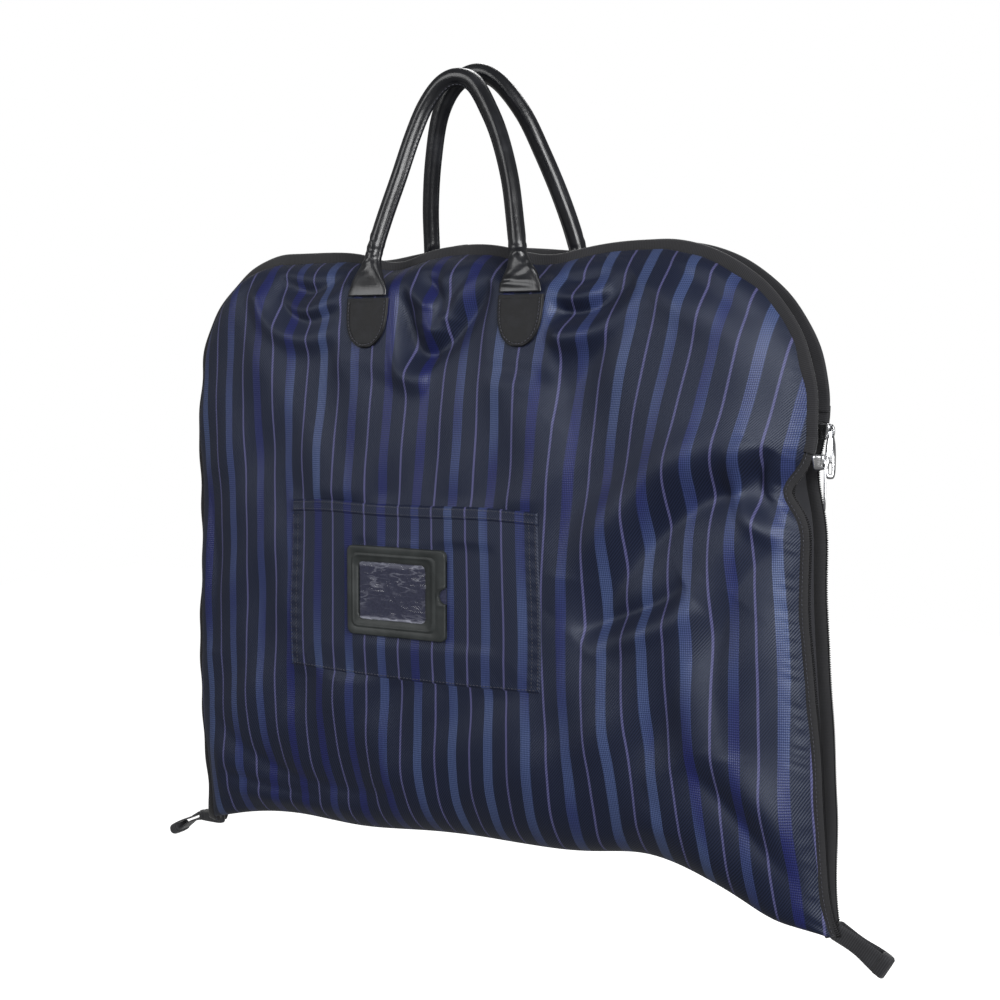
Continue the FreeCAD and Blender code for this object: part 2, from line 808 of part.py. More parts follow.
def sketch_on_path(body, name, path, edge, share):
    """A sketch square to one end of a path's edge, with its origin on the path."""
    sketch = body.newObject("Sketcher::SketchObject", name)
    sketch.AttachmentSupport = [(path, edge)]
    sketch.MapMode = "NormalToEdge"
    sketch.MapPathParameter = share
    return sketch


def sweep(body, name, path, profile):
    feature = body.newObject("PartDesign::AdditivePipe", name)
    feature.Profile = profile
    feature.Spine = (path, ["Edge1", "Edge2", "Edge3"])
    return feature


def make_handle_cover(label, side):
    """Rolled leather cover: a tube along the arch, pressed flat into a foot at each end."""
    body = make_body(label)
    path = new_sketch(body, "arch")
    draw_arch(path)
    doc.recompute()
    ring = sketch_on_path(body, "ring", path, "Edge1", 0)
    draw_circle(ring, as_size(0), as_size(0), size["grip_diameter"])
    draw_circle(ring, as_size(0), as_size(0), size["core_diameter"])
    sweep(body, "tube", path, ring)
    flat, thick = size["foot_width"] / 2, size["foot_thick"] / 2
    for name, hand, edge, share in (("right", 1, "Edge1", 0), ("left", -1, "Edge3", 1)):
        round_end = sketch_on_path(body, f"{name}_round", path, edge, share)
        draw_circle(round_end, as_size(0), as_size(0), size["grip_diameter"])
        flat_end = new_sketch(body, f"{name}_flat", "XY_Plane", size["crease_clear"])
        centre = size["leg_spread"] / 2 * hand
        draw_outline(flat_end, box_corners(centre - flat, centre + flat, -thick, thick))
        foot = body.newObject("PartDesign::AdditiveLoft", f"{name}_foot")
        foot.Profile = flat_end
        foot.Sections = [round_end]
    place_on_slope(body, side, size["crease_inset"], handle_lean(), handle_depth())
    return body


def make_handle_core(label, side):
    """Rope inside a handle's tube."""
    body = make_body(label)
    path = new_sketch(body, "arch")
    draw_arch(path)
    doc.recompute()
    disc = sketch_on_path(body, "disc", path, "Edge1", 0)
    draw_circle(disc, as_size(0), as_size(0), size["core_diameter"])
    sweep(body, "rope", path, disc)
    place_on_slope(body, side, size["crease_inset"], handle_lean(), handle_depth())
    return body


def make_corner_loop(label, hand):
    """Webbing loop at a bottom corner: a long ring that turns about its sewn end.

    The left loop lies flat, so its webbing runs front to back. The right one stands on edge.
    """
    body = make_body(label)
    inner = size["loop_gap"] / 2
    outer = inner + size["web_thick"]
    length = size["right_loop_length"] if hand > 0 else size["left_loop_length"]
    plane = "XY_Plane" if hand > 0 else "XZ_Plane"
    for name, radius, make in (("outside", outer, pad), ("inside", inner, pocket)):
        sketch = new_sketch(body, name + "_outline", plane, -size["web_width"] / 2)
        draw_outline(
            sketch,
            [
                (0, -radius), (length, -radius), ("through", length + radius, 0),
                (length, radius), (0, radius), ("through", -radius, 0),
            ],
        )
        make(body, name, sketch, size["web_width"])
    body.Placement.Rotation = FreeCAD.Rotation(FreeCAD.Vector(0, 1, 0), 1)
    droop = size["right_droop"] if hand > 0 else 180 - size["left_droop"]
    bind(body, "Placement.Base.x", loop_pivot(hand) * hand)
    set_height(body, loop_height())
    bind(body, "Placement.Rotation.Angle", droop)
    return body


def loop_pivot(hand):
    """How far out the sewn end of a corner loop is."""
    reach = size["loop_gap"] / 2 + size["web_thick"] + size["loop_clear"]
    if hand > 0:
        droop = size["right_droop"]
        tilt = Size(math.sin(math.radians(droop.value)), f"sin({droop.text} * 1 deg)")
        reach = reach + size["web_width"] / 2 * tilt
    return size["bag_width"] / 2 + reach


def loop_height():
    return size["loop_gap"] / 2 + size["web_thick"] + size["fold_gap"]


def cut_hook_slot(body, left, right, low):
    """Cuts away the back half's rim between left and right, from low to above the top edge."""
    slot(
        body, "hook_slot", BACK, size["half_gap"], size["edge_depth"],
        box_corners(left, right, low, size["bag_height"] + size["cloth_wall"]),
    )


def make_back_bindings(tape_end):
    """The back half's edge tape, in two runs that stop at the opening for a hanger's hook."""
    half = size["hook_slot_width"] / 2
    left_tape = make_binding("back_binding_left", BACK, tape_end)
    cut_hook_slot(left_tape, -half, size["bag_width"], as_size(0))
    right_tape = make_binding("back_binding_right", BACK, tape_end)
    cut_hook_slot(right_tape, -size["bag_width"], half, as_size(0))
    return [left_tape, right_tape]


def build_bag():
    parts = []
    for prefix, side, zip_top in (
        ("front", FRONT, size["bag_height"] - size["front_zip_drop"]),
        ("back", BACK, size["bag_height"] - size["back_zip_drop"]),
    ):
        tray = make_tray(f"{prefix}_panel", side)
        parts += [tray, make_lining(f"{prefix}_lining", side)]
        tape_end = zip_top + size["end_tab_height"]
        if side == FRONT:
            parts.append(make_binding("front_binding", side, tape_end))
        else:
            half_slot = size["hook_slot_width"] / 2
            seam_low = size["bag_height"] - size["band_width"] - size["cloth_wall"] * 2
            cut_hook_slot(tray, -half_slot, half_slot, seam_low)
            parts += make_back_bindings(tape_end)
        parts += make_zip(prefix, side, zip_top)
        parts.append(make_slider(f"{prefix}_zip_slider", side, zip_top))
        parts.append(make_pull(f"{prefix}_zip_pull", side, zip_top))
        parts.append(make_handle_cover(f"{prefix}_handle_cover", side))
        parts.append(make_handle_core(f"{prefix}_handle_core", side))
        for hand_name, hand in (("left", -1), ("right", 1)):
            parts.append(make_patch(f"{prefix}_handle_patch_{hand_name}", side, hand))
            parts.append(make_stiffener(f"{prefix}_handle_stiffener_{hand_name}", side, hand))
    parts += make_pocket()
    parts += make_label()
    parts.append(make_corner_loop("corner_loop_left", -1))
    parts.append(make_corner_loop("corner_loop_right", 1))
    return parts


def check_document():
    for thing in doc.Objects:
        if "Invalid" in thing.State or "Error" in thing.State:
            raise RuntimeError(f"{thing.Label} failed: {thing.State}")


def write_parts(parts):
    os.makedirs(OUT_FOLDER, exist_ok=True)
    for part in parts:
        shape = part.Shape
        if shape.isNull() or not shape.isValid() or not shape.Solids:
            raise RuntimeError(f"{part.Label} has no valid solid")
    for part in parts:
        part.Shape.exportStep(os.path.join(OUT_FOLDER, part.Label + ".step"))
        box = part.Shape.BoundBox
        print(
            f"{part.Label:32s} solids {len(part.Shape.Solids)}  volume {part.Shape.Volume:10.0f}"
            f"  x {box.XMin:7.1f} {box.XMax:7.1f}  y {box.YMin:6.1f} {box.YMax:6.1f}"
            f"  z {box.ZMin:6.1f} {box.ZMax:6.1f}"
        )


bag = build_bag()
doc.recompute()
check_document()
write_parts(bag)
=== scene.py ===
# %% [markdown]
# # A folding garment bag
# A suit bag folded in half: two soft cloth halves that share one long piece of striped satin, folded at the
# bottom. Ribbed tape binds the edge, one long zip runs down the right side, and two rolled leather handles
# stand above the top edge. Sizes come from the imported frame, in metres: X across, Y to the back, Z up, with
# the origin at the grip.
# %% Frame and sizes
import bpy
import math
import numpy as np
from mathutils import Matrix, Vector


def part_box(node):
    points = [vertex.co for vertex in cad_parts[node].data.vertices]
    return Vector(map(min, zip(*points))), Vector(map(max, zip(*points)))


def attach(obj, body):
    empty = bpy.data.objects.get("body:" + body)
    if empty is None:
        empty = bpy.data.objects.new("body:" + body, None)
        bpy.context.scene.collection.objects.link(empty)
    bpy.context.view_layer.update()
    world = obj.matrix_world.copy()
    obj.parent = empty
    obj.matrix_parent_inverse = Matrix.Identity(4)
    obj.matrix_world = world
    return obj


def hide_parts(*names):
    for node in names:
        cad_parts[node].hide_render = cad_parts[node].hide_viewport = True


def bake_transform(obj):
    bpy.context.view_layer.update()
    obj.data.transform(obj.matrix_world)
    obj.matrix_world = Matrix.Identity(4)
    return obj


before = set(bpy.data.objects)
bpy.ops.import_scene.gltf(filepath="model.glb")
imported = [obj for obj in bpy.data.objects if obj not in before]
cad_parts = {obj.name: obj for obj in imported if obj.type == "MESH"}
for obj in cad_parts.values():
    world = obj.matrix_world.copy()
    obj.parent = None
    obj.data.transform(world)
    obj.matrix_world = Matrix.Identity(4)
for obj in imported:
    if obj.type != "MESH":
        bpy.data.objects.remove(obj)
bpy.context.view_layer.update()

panel_low, panel_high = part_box("front_panel")
band_low, band_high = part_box("front_binding")
HALF_GAP = -panel_high[1]
FOLD = panel_low[2] - HALF_GAP
HEIGHT = band_high[2] - FOLD
HALF_WIDTH = -band_low[0]
EDGE = -band_low[1]
FACE = -panel_low[1]
BAND = 0.013
SHOULDER = 0.125
SIDE_FLARE = 0.018
TAU = 2 * math.pi
DEEP = np.array([0.0, 1.0, 0.0])
FRONT, BACK = -1, 1
HALVES = ((FRONT, "front"), (BACK, "back"))
print(f"fold at z {FOLD:.4f}, height {HEIGHT:.3f}, half width {HALF_WIDTH:.3f}, face depth {FACE:.3f}")

# %% [markdown]
# ## Surfaces from arrays
# Every new piece is a grid of points: a shape worked out for two parameters at once, or a profile carried
# along a path. One function turns such a grid into a mesh, with its faces outwards and its own UV map.
# %% Grid helper
def ease(low, high, x):
    """0 below low, 1 above high, and a smooth S between: t * t * (3 - 2t)."""
    t = np.clip((np.asarray(x, float) - low) / (high - low), 0, 1)
    return t * t * (3 - 2 * t)


def hump(x, centre, width):
    """A bell: 1 at the centre, falling as exp(-(distance / width) squared)."""
    return np.exp(-(((x - centre) / width) ** 2))


def circle(count):
    """Angles once round a circle, without the last point."""
    return np.arange(count) * TAU / count


def layers(*parts):
    """Arrays of one or both grid directions, stacked as the last axis of a full grid."""
    return np.stack(np.broadcast_arrays(*parts), axis=-1)


def new_piece(name, points, faces, material, uv):
    """A smooth mesh of points and faces, with one UV pair for each corner of each face."""
    mesh = bpy.data.meshes.new(name)
    mesh.from_pydata(points.reshape(-1, 3), [], faces)
    mesh.uv_layers.new(name="UVMap").data.foreach_set("uv", uv.astype(np.float32).ravel())
    mesh.polygons.foreach_set("use_smooth", np.ones(len(faces), bool))
    mesh.materials.append(material)
    mesh.update()
    piece = bpy.data.objects.new(name, mesh)
    bpy.context.collection.objects.link(piece)
    return piece


def grid_mesh(name, points, material, uv=None, wrap=(False, False), flip=False, caps=False):
    """Joins neighbouring points of a (rows, columns, 3) grid by four-sided faces.

    wrap closes the grid along its rows or columns, caps closes the two end rows, and flip turns it over.
    """
    points = np.asarray(points, float)
    rows, cols = points.shape[:2]
    i = np.arange(rows - (not wrap[0]))[:, None]
    j = np.arange(cols - (not wrap[1]))[None, :]
    corners = [(i, j), (i, j + 1), (i + 1, j + 1), (i + 1, j)]
    if flip:
        corners = corners[::-1]
    index = [(a % rows) * cols + b % cols for a, b in corners]
    faces = np.stack([k.ravel() for k in np.broadcast_arrays(*index)], axis=1).tolist()
    quads = len(faces)
    if caps:
        first, last = list(range(cols)), list(range((rows - 1) * cols, rows * cols))
        faces += [last, first[::-1]] if not flip else [last[::-1], first]
    if uv is None:
        v, u = np.meshgrid(np.arange(rows + 1) / rows, np.arange(cols + 1) / cols, indexing="ij")
        uv = np.stack([u, v], axis=2)
    values = np.zeros((sum(map(len, faces)), 2))
    chosen = np.stack([uv[np.broadcast_to(a, (len(i), j.size)), np.broadcast_to(b, (len(i), j.size))]
                       for a, b in corners], axis=2)
    values[: quads * 4] = chosen.reshape(-1, 2)
    return new_piece(name, points, faces, material, values)


def smooth_line(points, count):
    """A Catmull-Rom curve through the points: each span is the cubic set by its four nearest points."""
    p = np.asarray(points, float)
    p = np.vstack([2 * p[0] - p[1], p, 2 * p[-1] - p[-2]])
    t = np.linspace(0, len(p) - 3 - 1e-9, count)
    k = t.astype(int)
    f = (t - k)[:, None]
    a, b, c, d = p[k], p[k + 1], p[k + 2], p[k + 3]
    return 0.5 * (2 * b + (c - a) * f + (2 * a - 5 * b + 4 * c - d) * f**2 + (3 * b - a - 3 * c + d) * f**3)


def lengths(path):
    """Distance along a path to each of its points: the running sum of its steps."""
    steps = np.linalg.norm(np.diff(path, axis=0), axis=1)
    return np.concatenate([[0], np.cumsum(steps)])


def even(path, count):
    """The same path with its points evenly spaced along its length."""
    run = lengths(path)
    want = np.linspace(0, run[-1], count)
    return np.stack([np.interp(want, run, path[:, k]) for k in range(path.shape[1])], axis=1)


def unit(v):
    """Each vector divided by its own length."""
    return v / np.maximum(np.linalg.norm(v, axis=-1, keepdims=True), 1e-12)


def carry(path, across, out, profile):
    """A profile carried along a path: point = path + across * profile x + out * profile y."""
    across, out = np.broadcast_to(across, path.shape), np.broadcast_to(out, path.shape)
    profile = np.broadcast_to(profile, (len(path),) + profile.shape[-2:])
    return path[:, None] + across[:, None] * profile[..., :1] + out[:, None] * profile[..., 1:]


def tube(name, path, across, out, profile, material, uv=None, flip=False):
    """A closed profile carried along an open path, with both ends closed."""
    points = carry(path, across, out, profile)
    return grid_mesh(name, points, material, uv, wrap=(False, True), flip=flip, caps=True)


def dress(piece, body, slot, *nodes):
    """Says which body a piece rides on and which engineering parts it replaces; slot is not used."""
    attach(piece, body)
    if nodes:
        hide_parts(*nodes)
    return piece


def signed_power(wave, power):
    """A wave from -1 to 1 raised to a power with its sign kept: sign(w) |w|^p."""
    return np.sign(wave) * np.abs(wave) ** power


def ring_uv(run, girth):
    """The UV map of a carried profile, in metres: v along the path and u round the profile."""
    return layers(run[:, None], girth[None, :])

# %% [markdown]
# ## Shader maths
# A procedural finish is a sum of small formulas: stripes, threads, grain. Wrapping a socket in a class that
# knows plus, minus and times lets each formula be read as one line, while the nodes are added behind it.
# %% Shader class and principled helper
class Shade:
    """One output socket. Arithmetic on it adds Math nodes to its tree."""

    def __init__(self, tree, socket):
        self.tree, self.socket = tree, socket

    def math(self, operation, *values):
        return node(self.tree, "ShaderNodeMath", {"operation": operation}, *values)

    def __add__(self, other):
        return self.math("ADD", self, other)

    def __sub__(self, other):
        return self.math("SUBTRACT", self, other)

    def __rsub__(self, other):
        return self.math("SUBTRACT", other, self)

    def __mul__(self, other):
        return self.math("MULTIPLY", self, other)

    def __truediv__(self, other):
        return self.math("DIVIDE", self, other)

    __radd__, __rmul__ = __add__, __mul__

    def sin(self):
        return self.math("SINE", self)

    def abs(self):
        return self.math("ABSOLUTE", self)

    def fraction(self):
        return self.math("FRACT", self)

    def step(self, low, high):
        """0 at low, 1 at high and smooth between; it falls where low is above high."""
        settings = {"interpolation_type": "SMOOTHSTEP"}
        return node(self.tree, "ShaderNodeMapRange", settings, self, low, high)


def node(tree, kind, settings=None, *values, out=0, **named):
    """Adds a node: its settings first, then values or links for its sockets, in order or by name."""
    made = tree.nodes.new(kind)
    for key, value in (settings or {}).items():
        setattr(made, key, value)
    by_name = [(made.inputs[key.replace("_", " ")], value) for key, value in named.items()]
    for socket, value in list(zip(made.inputs, values)) + by_name:
        if isinstance(value, Shade):
            tree.links.new(value.socket, socket)
        elif value is not None:
            socket.default_value = value
    return Shade(tree, made.outputs[out])


def mix(tree, factor, a, b):
    """A colour between a and b."""
    made = tree.nodes.new("ShaderNodeMix")
    made.data_type = "RGBA"
    for name, value in (("Factor_Float", factor), ("A_Color", a), ("B_Color", b)):
        socket = next(s for s in made.inputs if s.identifier == name)
        if isinstance(value, Shade):
            tree.links.new(value.socket, socket)
        else:
            socket.default_value = value if name == "Factor_Float" else (*value, 1)
    return Shade(tree, next(s for s in made.outputs if s.identifier == "Result_Color"))


def finish(name, **constants):
    """A new material: its tree and its Principled shader, with the constants set on the shader."""
    material = bpy.data.materials.new(name)
    material.use_nodes = True
    shader = material.node_tree.nodes["Principled BSDF"]
    for key, value in constants.items():
        shader.inputs[key.replace("_", " ")].default_value = value
    return material, material.node_tree, shader


def feed(tree, shader, **links):
    """Links varying values to the shader's sockets by name."""
    for key, value in links.items():
        tree.links.new(value.socket, shader.inputs[key.replace("_", " ")])


def bump(tree, height, distance, strength=1.0):
    """A Bump node: height is 0 to 1, and distance is how far 1 stands out, in metres."""
    return node(tree, "ShaderNodeBump", None, strength, distance, Height=height)


def uv_pair(tree):
    """The piece's own UV map, in metres along and across the cloth."""
    spot = node(tree, "ShaderNodeUVMap", {"uv_map": "UVMap"})
    parts = tree.nodes.new("ShaderNodeSeparateXYZ")
    tree.links.new(spot.socket, parts.inputs[0])
    return Shade(tree, parts.outputs[0]), Shade(tree, parts.outputs[1])


def object_place(tree):
    return node(tree, "ShaderNodeTexCoord", None, out=3)


def noise(tree, place, scale, detail=2.0, rough=0.5):
    return node(tree, "ShaderNodeTexNoise", None, Vector=place, Scale=scale, Detail=detail, Roughness=rough)


def vector(tree, x, y, z=0.0):
    return node(tree, "ShaderNodeCombineXYZ", None, x, y, z)

# %% [markdown]
# ## Striped satin
# The cloth is a near-black navy twill. Broad blue stripes have a small diamond weave, and a thin lilac
# pinstripe runs midway between them. An image could hold it, but formulas on the UV map, which is in metres
# of cloth, keep every thread sharp and the stripes on the cloth wherever it bends.
# %% Cloth material
STRIPE_STEP = 0.033


def striped_satin():
    """Stripe masks from the distance to the nearest stripe's middle; threads from crossed sine waves."""
    material, tree, shader = finish("striped_satin", Sheen_Weight=0.05, Sheen_Roughness=0.4, Anisotropic=0.3,
                                    Specular_IOR_Level=0.5, Specular_Tint=(0.80, 0.87, 1.0, 1.0))
    u, v = uv_pair(tree)
    place = vector(tree, u, v)
    wander = noise(tree, place, 9.0) - 0.5
    across = (u + wander * 0.0012) / STRIPE_STEP
    from_broad = ((across + 0.5).fraction() - 0.5).abs() * STRIPE_STEP
    from_thin = (across.fraction() - 0.5).abs() * STRIPE_STEP
    broad = from_broad.step(0.0043, 0.0037)
    thin = from_thin.step(0.0011, 0.0006)
    twill = ((u * 0.8 + v * 0.6) * (TAU / 0.0016)).sin() * 0.5 + 0.5
    left = ((u * 0.8 - v * 0.6) * (TAU / 0.0021)).sin()
    right = ((u * 0.8 + v * 0.6) * (TAU / 0.0021)).sin()
    diamond = (left * right) * 0.5 + 0.5
    blotch = noise(tree, place, 28.0, 3.0)
    ground = mix(tree, twill, (0.0012, 0.0026, 0.0110), (0.0095, 0.0140, 0.0390))
    ground = mix(tree, blotch.step(0.35, 0.7) * 0.25, ground, (0.004, 0.0065, 0.022))
    # painted sheen: in random patches the broad stripes turn from deep blue to a paler blue-grey, painted
    # where the satin would catch the light
    painted_sheen = noise(tree, vector(tree, u * 9.0, v * 5.0), 1.0, 2.0).step(0.40, 0.62)
    deep = mix(tree, diamond, (0.003, 0.0045, 0.035), (0.015, 0.019, 0.115))
    sheen_lit_band = mix(tree, diamond, (0.008, 0.016, 0.055), (0.068, 0.098, 0.220))
    band = mix(tree, painted_sheen, deep, sheen_lit_band)
    pin = mix(tree, twill, (0.035, 0.035, 0.105), (0.095, 0.095, 0.215))
    colour = mix(tree, thin, mix(tree, broad, ground, band), pin)
    height = twill * (1 - broad) + diamond * broad + thin * 0.6
    rough = 0.44 + blotch * 0.10 - broad * 0.08 + twill * 0.06
    feed(tree, shader, Base_Color=colour, Roughness=rough, Normal=bump(tree, height, 0.00024, 0.6))
    return material


SATIN = striped_satin()
print("striped satin:", len(SATIN.node_tree.nodes), "nodes")

# %% [markdown]
# ## Black trimmings
# Edge tape, zip tape and webbing are all black ribbed weaves that differ in the size of their ribs, so one
# function makes them: ribs across the tape, a finer thread along it, and slight fading.
# %% Tape, lining, leather, plastic, metal
def ribbed(name, rib, dark, light, rough=0.75, depth=0.0002):
    """Woven tape: u runs along it and v across, in metres, with ribs one rib apart."""
    material, tree, shader = finish(name, Sheen_Weight=0.25, Sheen_Roughness=0.5, Specular_IOR_Level=0.35)
    u, v = uv_pair(tree)
    ribs = (u * (TAU / rib)).sin() * 0.5 + 0.5
    threads = (v * (TAU / (rib * 0.8))).sin() * 0.5 + 0.5
    fade = noise(tree, vector(tree, u, v), 60.0, 3.0)
    colour = mix(tree, (ribs * 0.6 + fade * 0.5).step(0.1, 1.0), dark, light)
    feed(tree, shader, Base_Color=colour, Roughness=fade * 0.2 + (rough - 0.1),
         Normal=bump(tree, ribs * 0.7 + threads * 0.3, depth, 0.6))
    return material


def lining_weave():
    """Plain weave: the product of two sine waves, one per thread direction."""
    material, tree, shader = finish("lining_weave", Specular_IOR_Level=0.4)
    u, v = uv_pair(tree)
    warp = (u * (TAU / 0.0011)).sin()
    weft = (v * (TAU / 0.0011)).sin()
    cloud = noise(tree, vector(tree, u, v), 20.0, 3.0)
    weave = warp * weft * 0.5 + 0.5
    colour = mix(tree, weave * 0.6 + cloud * 0.4, (0.010, 0.010, 0.013), (0.03, 0.031, 0.038))
    feed(tree, shader, Base_Color=colour, Roughness=0.55 + cloud * 0.15,
         Normal=bump(tree, weave, 0.0001, 0.5))
    return material


def glossy_leather():
    """Smooth coated leather: pebbles, long creases along the roll, and patches of paler wear."""
    material, tree, shader = finish("glossy_leather", Coat_Weight=0.35, Coat_Roughness=0.14,
                                    Specular_IOR_Level=0.5)
    u, v = uv_pair(tree)
    place = object_place(tree)
    pebble = node(tree, "ShaderNodeTexVoronoi", None, Vector=place, Scale=900.0)
    stretched = vector(tree, u * 22.0, v * 260.0)
    crease = noise(tree, stretched, 1.0, 4.0, 0.6)
    cross = noise(tree, vector(tree, u * 140.0, v * 30.0), 1.0, 3.0, 0.6)
    wear = noise(tree, place, 35.0, 3.0)
    colour = mix(tree, wear.step(0.45, 0.75), (0.006, 0.0065, 0.0085), (0.016, 0.017, 0.021))
    height = pebble * 0.04 + crease.step(0.30, 0.70) * 0.55 + cross.step(0.30, 0.65) * 0.2
    feed(tree, shader, Base_Color=colour, Roughness=0.20 + wear * 0.22,
         Normal=bump(tree, height, 0.0005, 0.6))
    return material


def patch_leather():
    """Flat coated leather: a fine pebble, faint scuffs and a duller face than the rolled handles."""
    material, tree, shader = finish("patch_leather", Specular_IOR_Level=0.25)
    place = object_place(tree)
    pebble = node(tree, "ShaderNodeTexVoronoi", {"feature": "SMOOTH_F1"}, Vector=place, Scale=1300.0)
    scuff = noise(tree, place, 90.0, 4.0, 0.6)
    colour = mix(tree, scuff.step(0.4, 0.7), (0.005, 0.0052, 0.0065), (0.012, 0.0125, 0.015))
    feed(tree, shader, Base_Color=colour, Roughness=0.40 + scuff * 0.16,
         Normal=bump(tree, pebble * 0.6 + scuff * 0.4, 0.00022, 0.7))
    return material


def moulded_plastic(name, dark, light, rough, grain=1400.0):
    """Dull plastic: a fine grain for its feel, and slow clouds between two near shades."""
    material, tree, shader = finish(name, Specular_IOR_Level=0.32)
    place = object_place(tree)
    grit = noise(tree, place, grain, 2.0)
    cloud = noise(tree, place, 60.0, 3.0)
    colour = mix(tree, cloud.step(0.3, 0.7), dark, light)
    feed(tree, shader, Base_Color=colour, Roughness=rough + grit * 0.12,
         Normal=bump(tree, grit, 0.00008, 0.5))
    return material


def polished_metal():
    """Plated metal: brushed very lightly, with smears that change its shine."""
    material, tree, shader = finish("polished_metal")
    place = object_place(tree)
    brush = noise(tree, place, 900.0, 2.0)
    smear = noise(tree, place, 120.0, 3.0)
    colour = mix(tree, smear.step(0.35, 0.7), (0.62, 0.63, 0.65), (0.86, 0.86, 0.87))
    feed(tree, shader, Base_Color=colour, Roughness=0.12 + smear * 0.16, Metallic=1 - smear * 0.02,
         Normal=bump(tree, brush, 0.00004, 0.4))
    return material


def clear_film():
    """Clear vinyl: crinkled reflections over what lies behind it, from its gloss and painted into its colour
    as pale lines and streaks.
    """
    material, tree, shader = finish("clear_film", Specular_IOR_Level=0.9, Coat_Weight=0.6,
                                    Coat_Roughness=0.05)
    place = object_place(tree)
    crumple = node(tree, "ShaderNodeTexVoronoi", {"feature": "F1"}, Vector=place, Scale=130.0)
    spot = node(tree, "ShaderNodeUVMap", {"uv_map": "UVMap"})
    stretched = node(tree, "ShaderNodeMapping", None, spot, (0, 0, 0), (0, 0, 0.15), (3.0, 9.0, 1.0))
    ripple = noise(tree, stretched, 0.9, 2.5, 0.55)
    # painted reflections: pale crinkle lines, and pale streaks (fold) across the film near its top and
    # bottom, lighten its colour and raise its alpha
    line = (ripple - 0.5).abs().step(0.045, 0.0)
    v = uv_pair(tree)[1] + ripple * 0.10
    fold = (v - 0.95).abs().step(0.035, 0.005) + (v - 0.16).abs().step(0.05, 0.01) * 0.5
    painted_reflection = line * noise(tree, place, 45.0, 2.0).step(0.40, 0.62) * 0.45 + fold * 0.7
    colour = mix(tree, painted_reflection, (0.05, 0.052, 0.080), (0.42, 0.43, 0.52))
    feed(tree, shader, Base_Color=colour, Roughness=0.10 + ripple * 0.15, Alpha=0.30 + painted_reflection * 0.40,
         Normal=bump(tree, crumple * 0.2 + ripple * 0.8, 0.0012, 0.8))
    return material


def card_paper():
    """Dark card: short fibres in two near shades."""
    material, tree, shader = finish("card_paper", Specular_IOR_Level=0.3)
    place = object_place(tree)
    fibre = noise(tree, place, 700.0, 3.0)
    colour = mix(tree, fibre.step(0.3, 0.7), (0.018, 0.02, 0.045), (0.035, 0.038, 0.075))
    feed(tree, shader, Base_Color=colour, Roughness=0.6 + fibre * 0.2,
         Normal=bump(tree, fibre, 0.00005, 0.4))
    return material


TAPE = ribbed("edge_tape", 0.0014, (0.006, 0.006, 0.0075), (0.022, 0.022, 0.026))
ZIP_TAPE = ribbed("zip_tape", 0.0011, (0.006, 0.006, 0.007), (0.018, 0.018, 0.021))
WEBBING = ribbed("webbing", 0.0018, (0.007, 0.007, 0.009), (0.026, 0.027, 0.031), 0.7, 0.00035)
THREAD = ribbed("thread", 0.0006, (0.012, 0.013, 0.020), (0.055, 0.057, 0.080), 0.6, 0.0001)
LINING = lining_weave()
LEATHER = glossy_leather()
PATCH = patch_leather()
PLASTIC = moulded_plastic("label_plastic", (0.021, 0.024, 0.024), (0.036, 0.040, 0.040), 0.42)
COIL = moulded_plastic("zip_coil", (0.003, 0.003, 0.004), (0.006, 0.006, 0.007), 0.85)
BOARD = moulded_plastic("stiff_board", (0.03, 0.03, 0.034), (0.06, 0.06, 0.066), 0.6)
METAL = polished_metal()
FILM = clear_film()
PAPER = card_paper()
ROPE = ribbed("rope", 0.003, (0.35, 0.33, 0.27), (0.6, 0.57, 0.5))
print("finishes:", len(bpy.data.materials))

# %% [markdown]
# ## The outline of a half
# Seen from the front a half is a box with round shoulders that flares to the fold. On the right the zip
# draws the side in at one height. Both sides are written as a distance from the middle for every height
# above the fold, so tape, zip and cloth all follow the same line.
# %% Outline
LEFT_SHOULDER = 0.100


def side_line(height, inset=0.0, shoulder=SHOULDER):
    """The side's distance from the middle: a straight flare, less the shoulder's round of radius r.

    Above the shoulder's start, at top - r, the side comes in by r - sqrt(r^2 - rise^2).
    """
    height = np.asarray(height, float)
    straight = HALF_WIDTH - SIDE_FLARE * height / HEIGHT - inset
    radius = shoulder - inset
    rise = np.clip(height - (HEIGHT - shoulder), 0, radius)
    return straight - radius + np.sqrt(np.maximum(radius**2 - rise**2, 0))


def pinch(height, side):
    """How far the right side is drawn in: a wide shallow dip, a narrow one at the zip's end, and a flare."""
    if side == FRONT:
        dip = 0.009 * hump(height, 0.25, 0.09) + 0.016 * hump(height, 0.332, 0.018)
        return dip - 0.010 * np.exp(-np.asarray(height) / 0.025)
    dip = 0.005 * hump(height, 0.25, 0.09) + 0.008 * hump(height, 0.345, 0.03)
    return dip - 0.007 * np.exp(-np.asarray(height) / 0.025)


def right_x(height, inset=0.0, side=FRONT):
    """The right side: the straight flare and round shoulder, less the pinch."""
    return side_line(height, inset) - pinch(height, side)


def left_x(height, inset=0.0):
    """The left side, alike on both halves: a tighter shoulder, a swell below it and a tuck near the fold."""
    swell = 0.006 * hump(height, 0.37, 0.035) - 0.011 * hump(height, 0.03, 0.06)
    return -side_line(height, inset, LEFT_SHOULDER) - swell


def fold_arch(x):
    """How far the fold rides above its corners: a fourth-power arch, low on the left, lifted on the right."""
    arch = 0.031 * (1 - np.minimum(np.abs(x) / HALF_WIDTH, 1) ** 4)
    sag = 0.008 * hump(x, -0.12, 0.07) + 0.007 * hump(x, 0.262, 0.03)
    return arch - sag + 0.011 * hump(x, 0.158, 0.05)


def top_wave(x, side):
    """The soft top edge dips beside the handles and stands up between them."""
    if side == FRONT:
        dips = 0.010 * hump(x, -0.080, 0.030) + 0.009 * hump(x, 0.068, 0.036)
        return 0.002 * hump(x, 0.0, 0.04) - dips
    return 0.004 * hump(x, -0.02, 0.03) - 0.007 * hump(x, -0.11, 0.05) - 0.006 * hump(x, 0.10, 0.05)


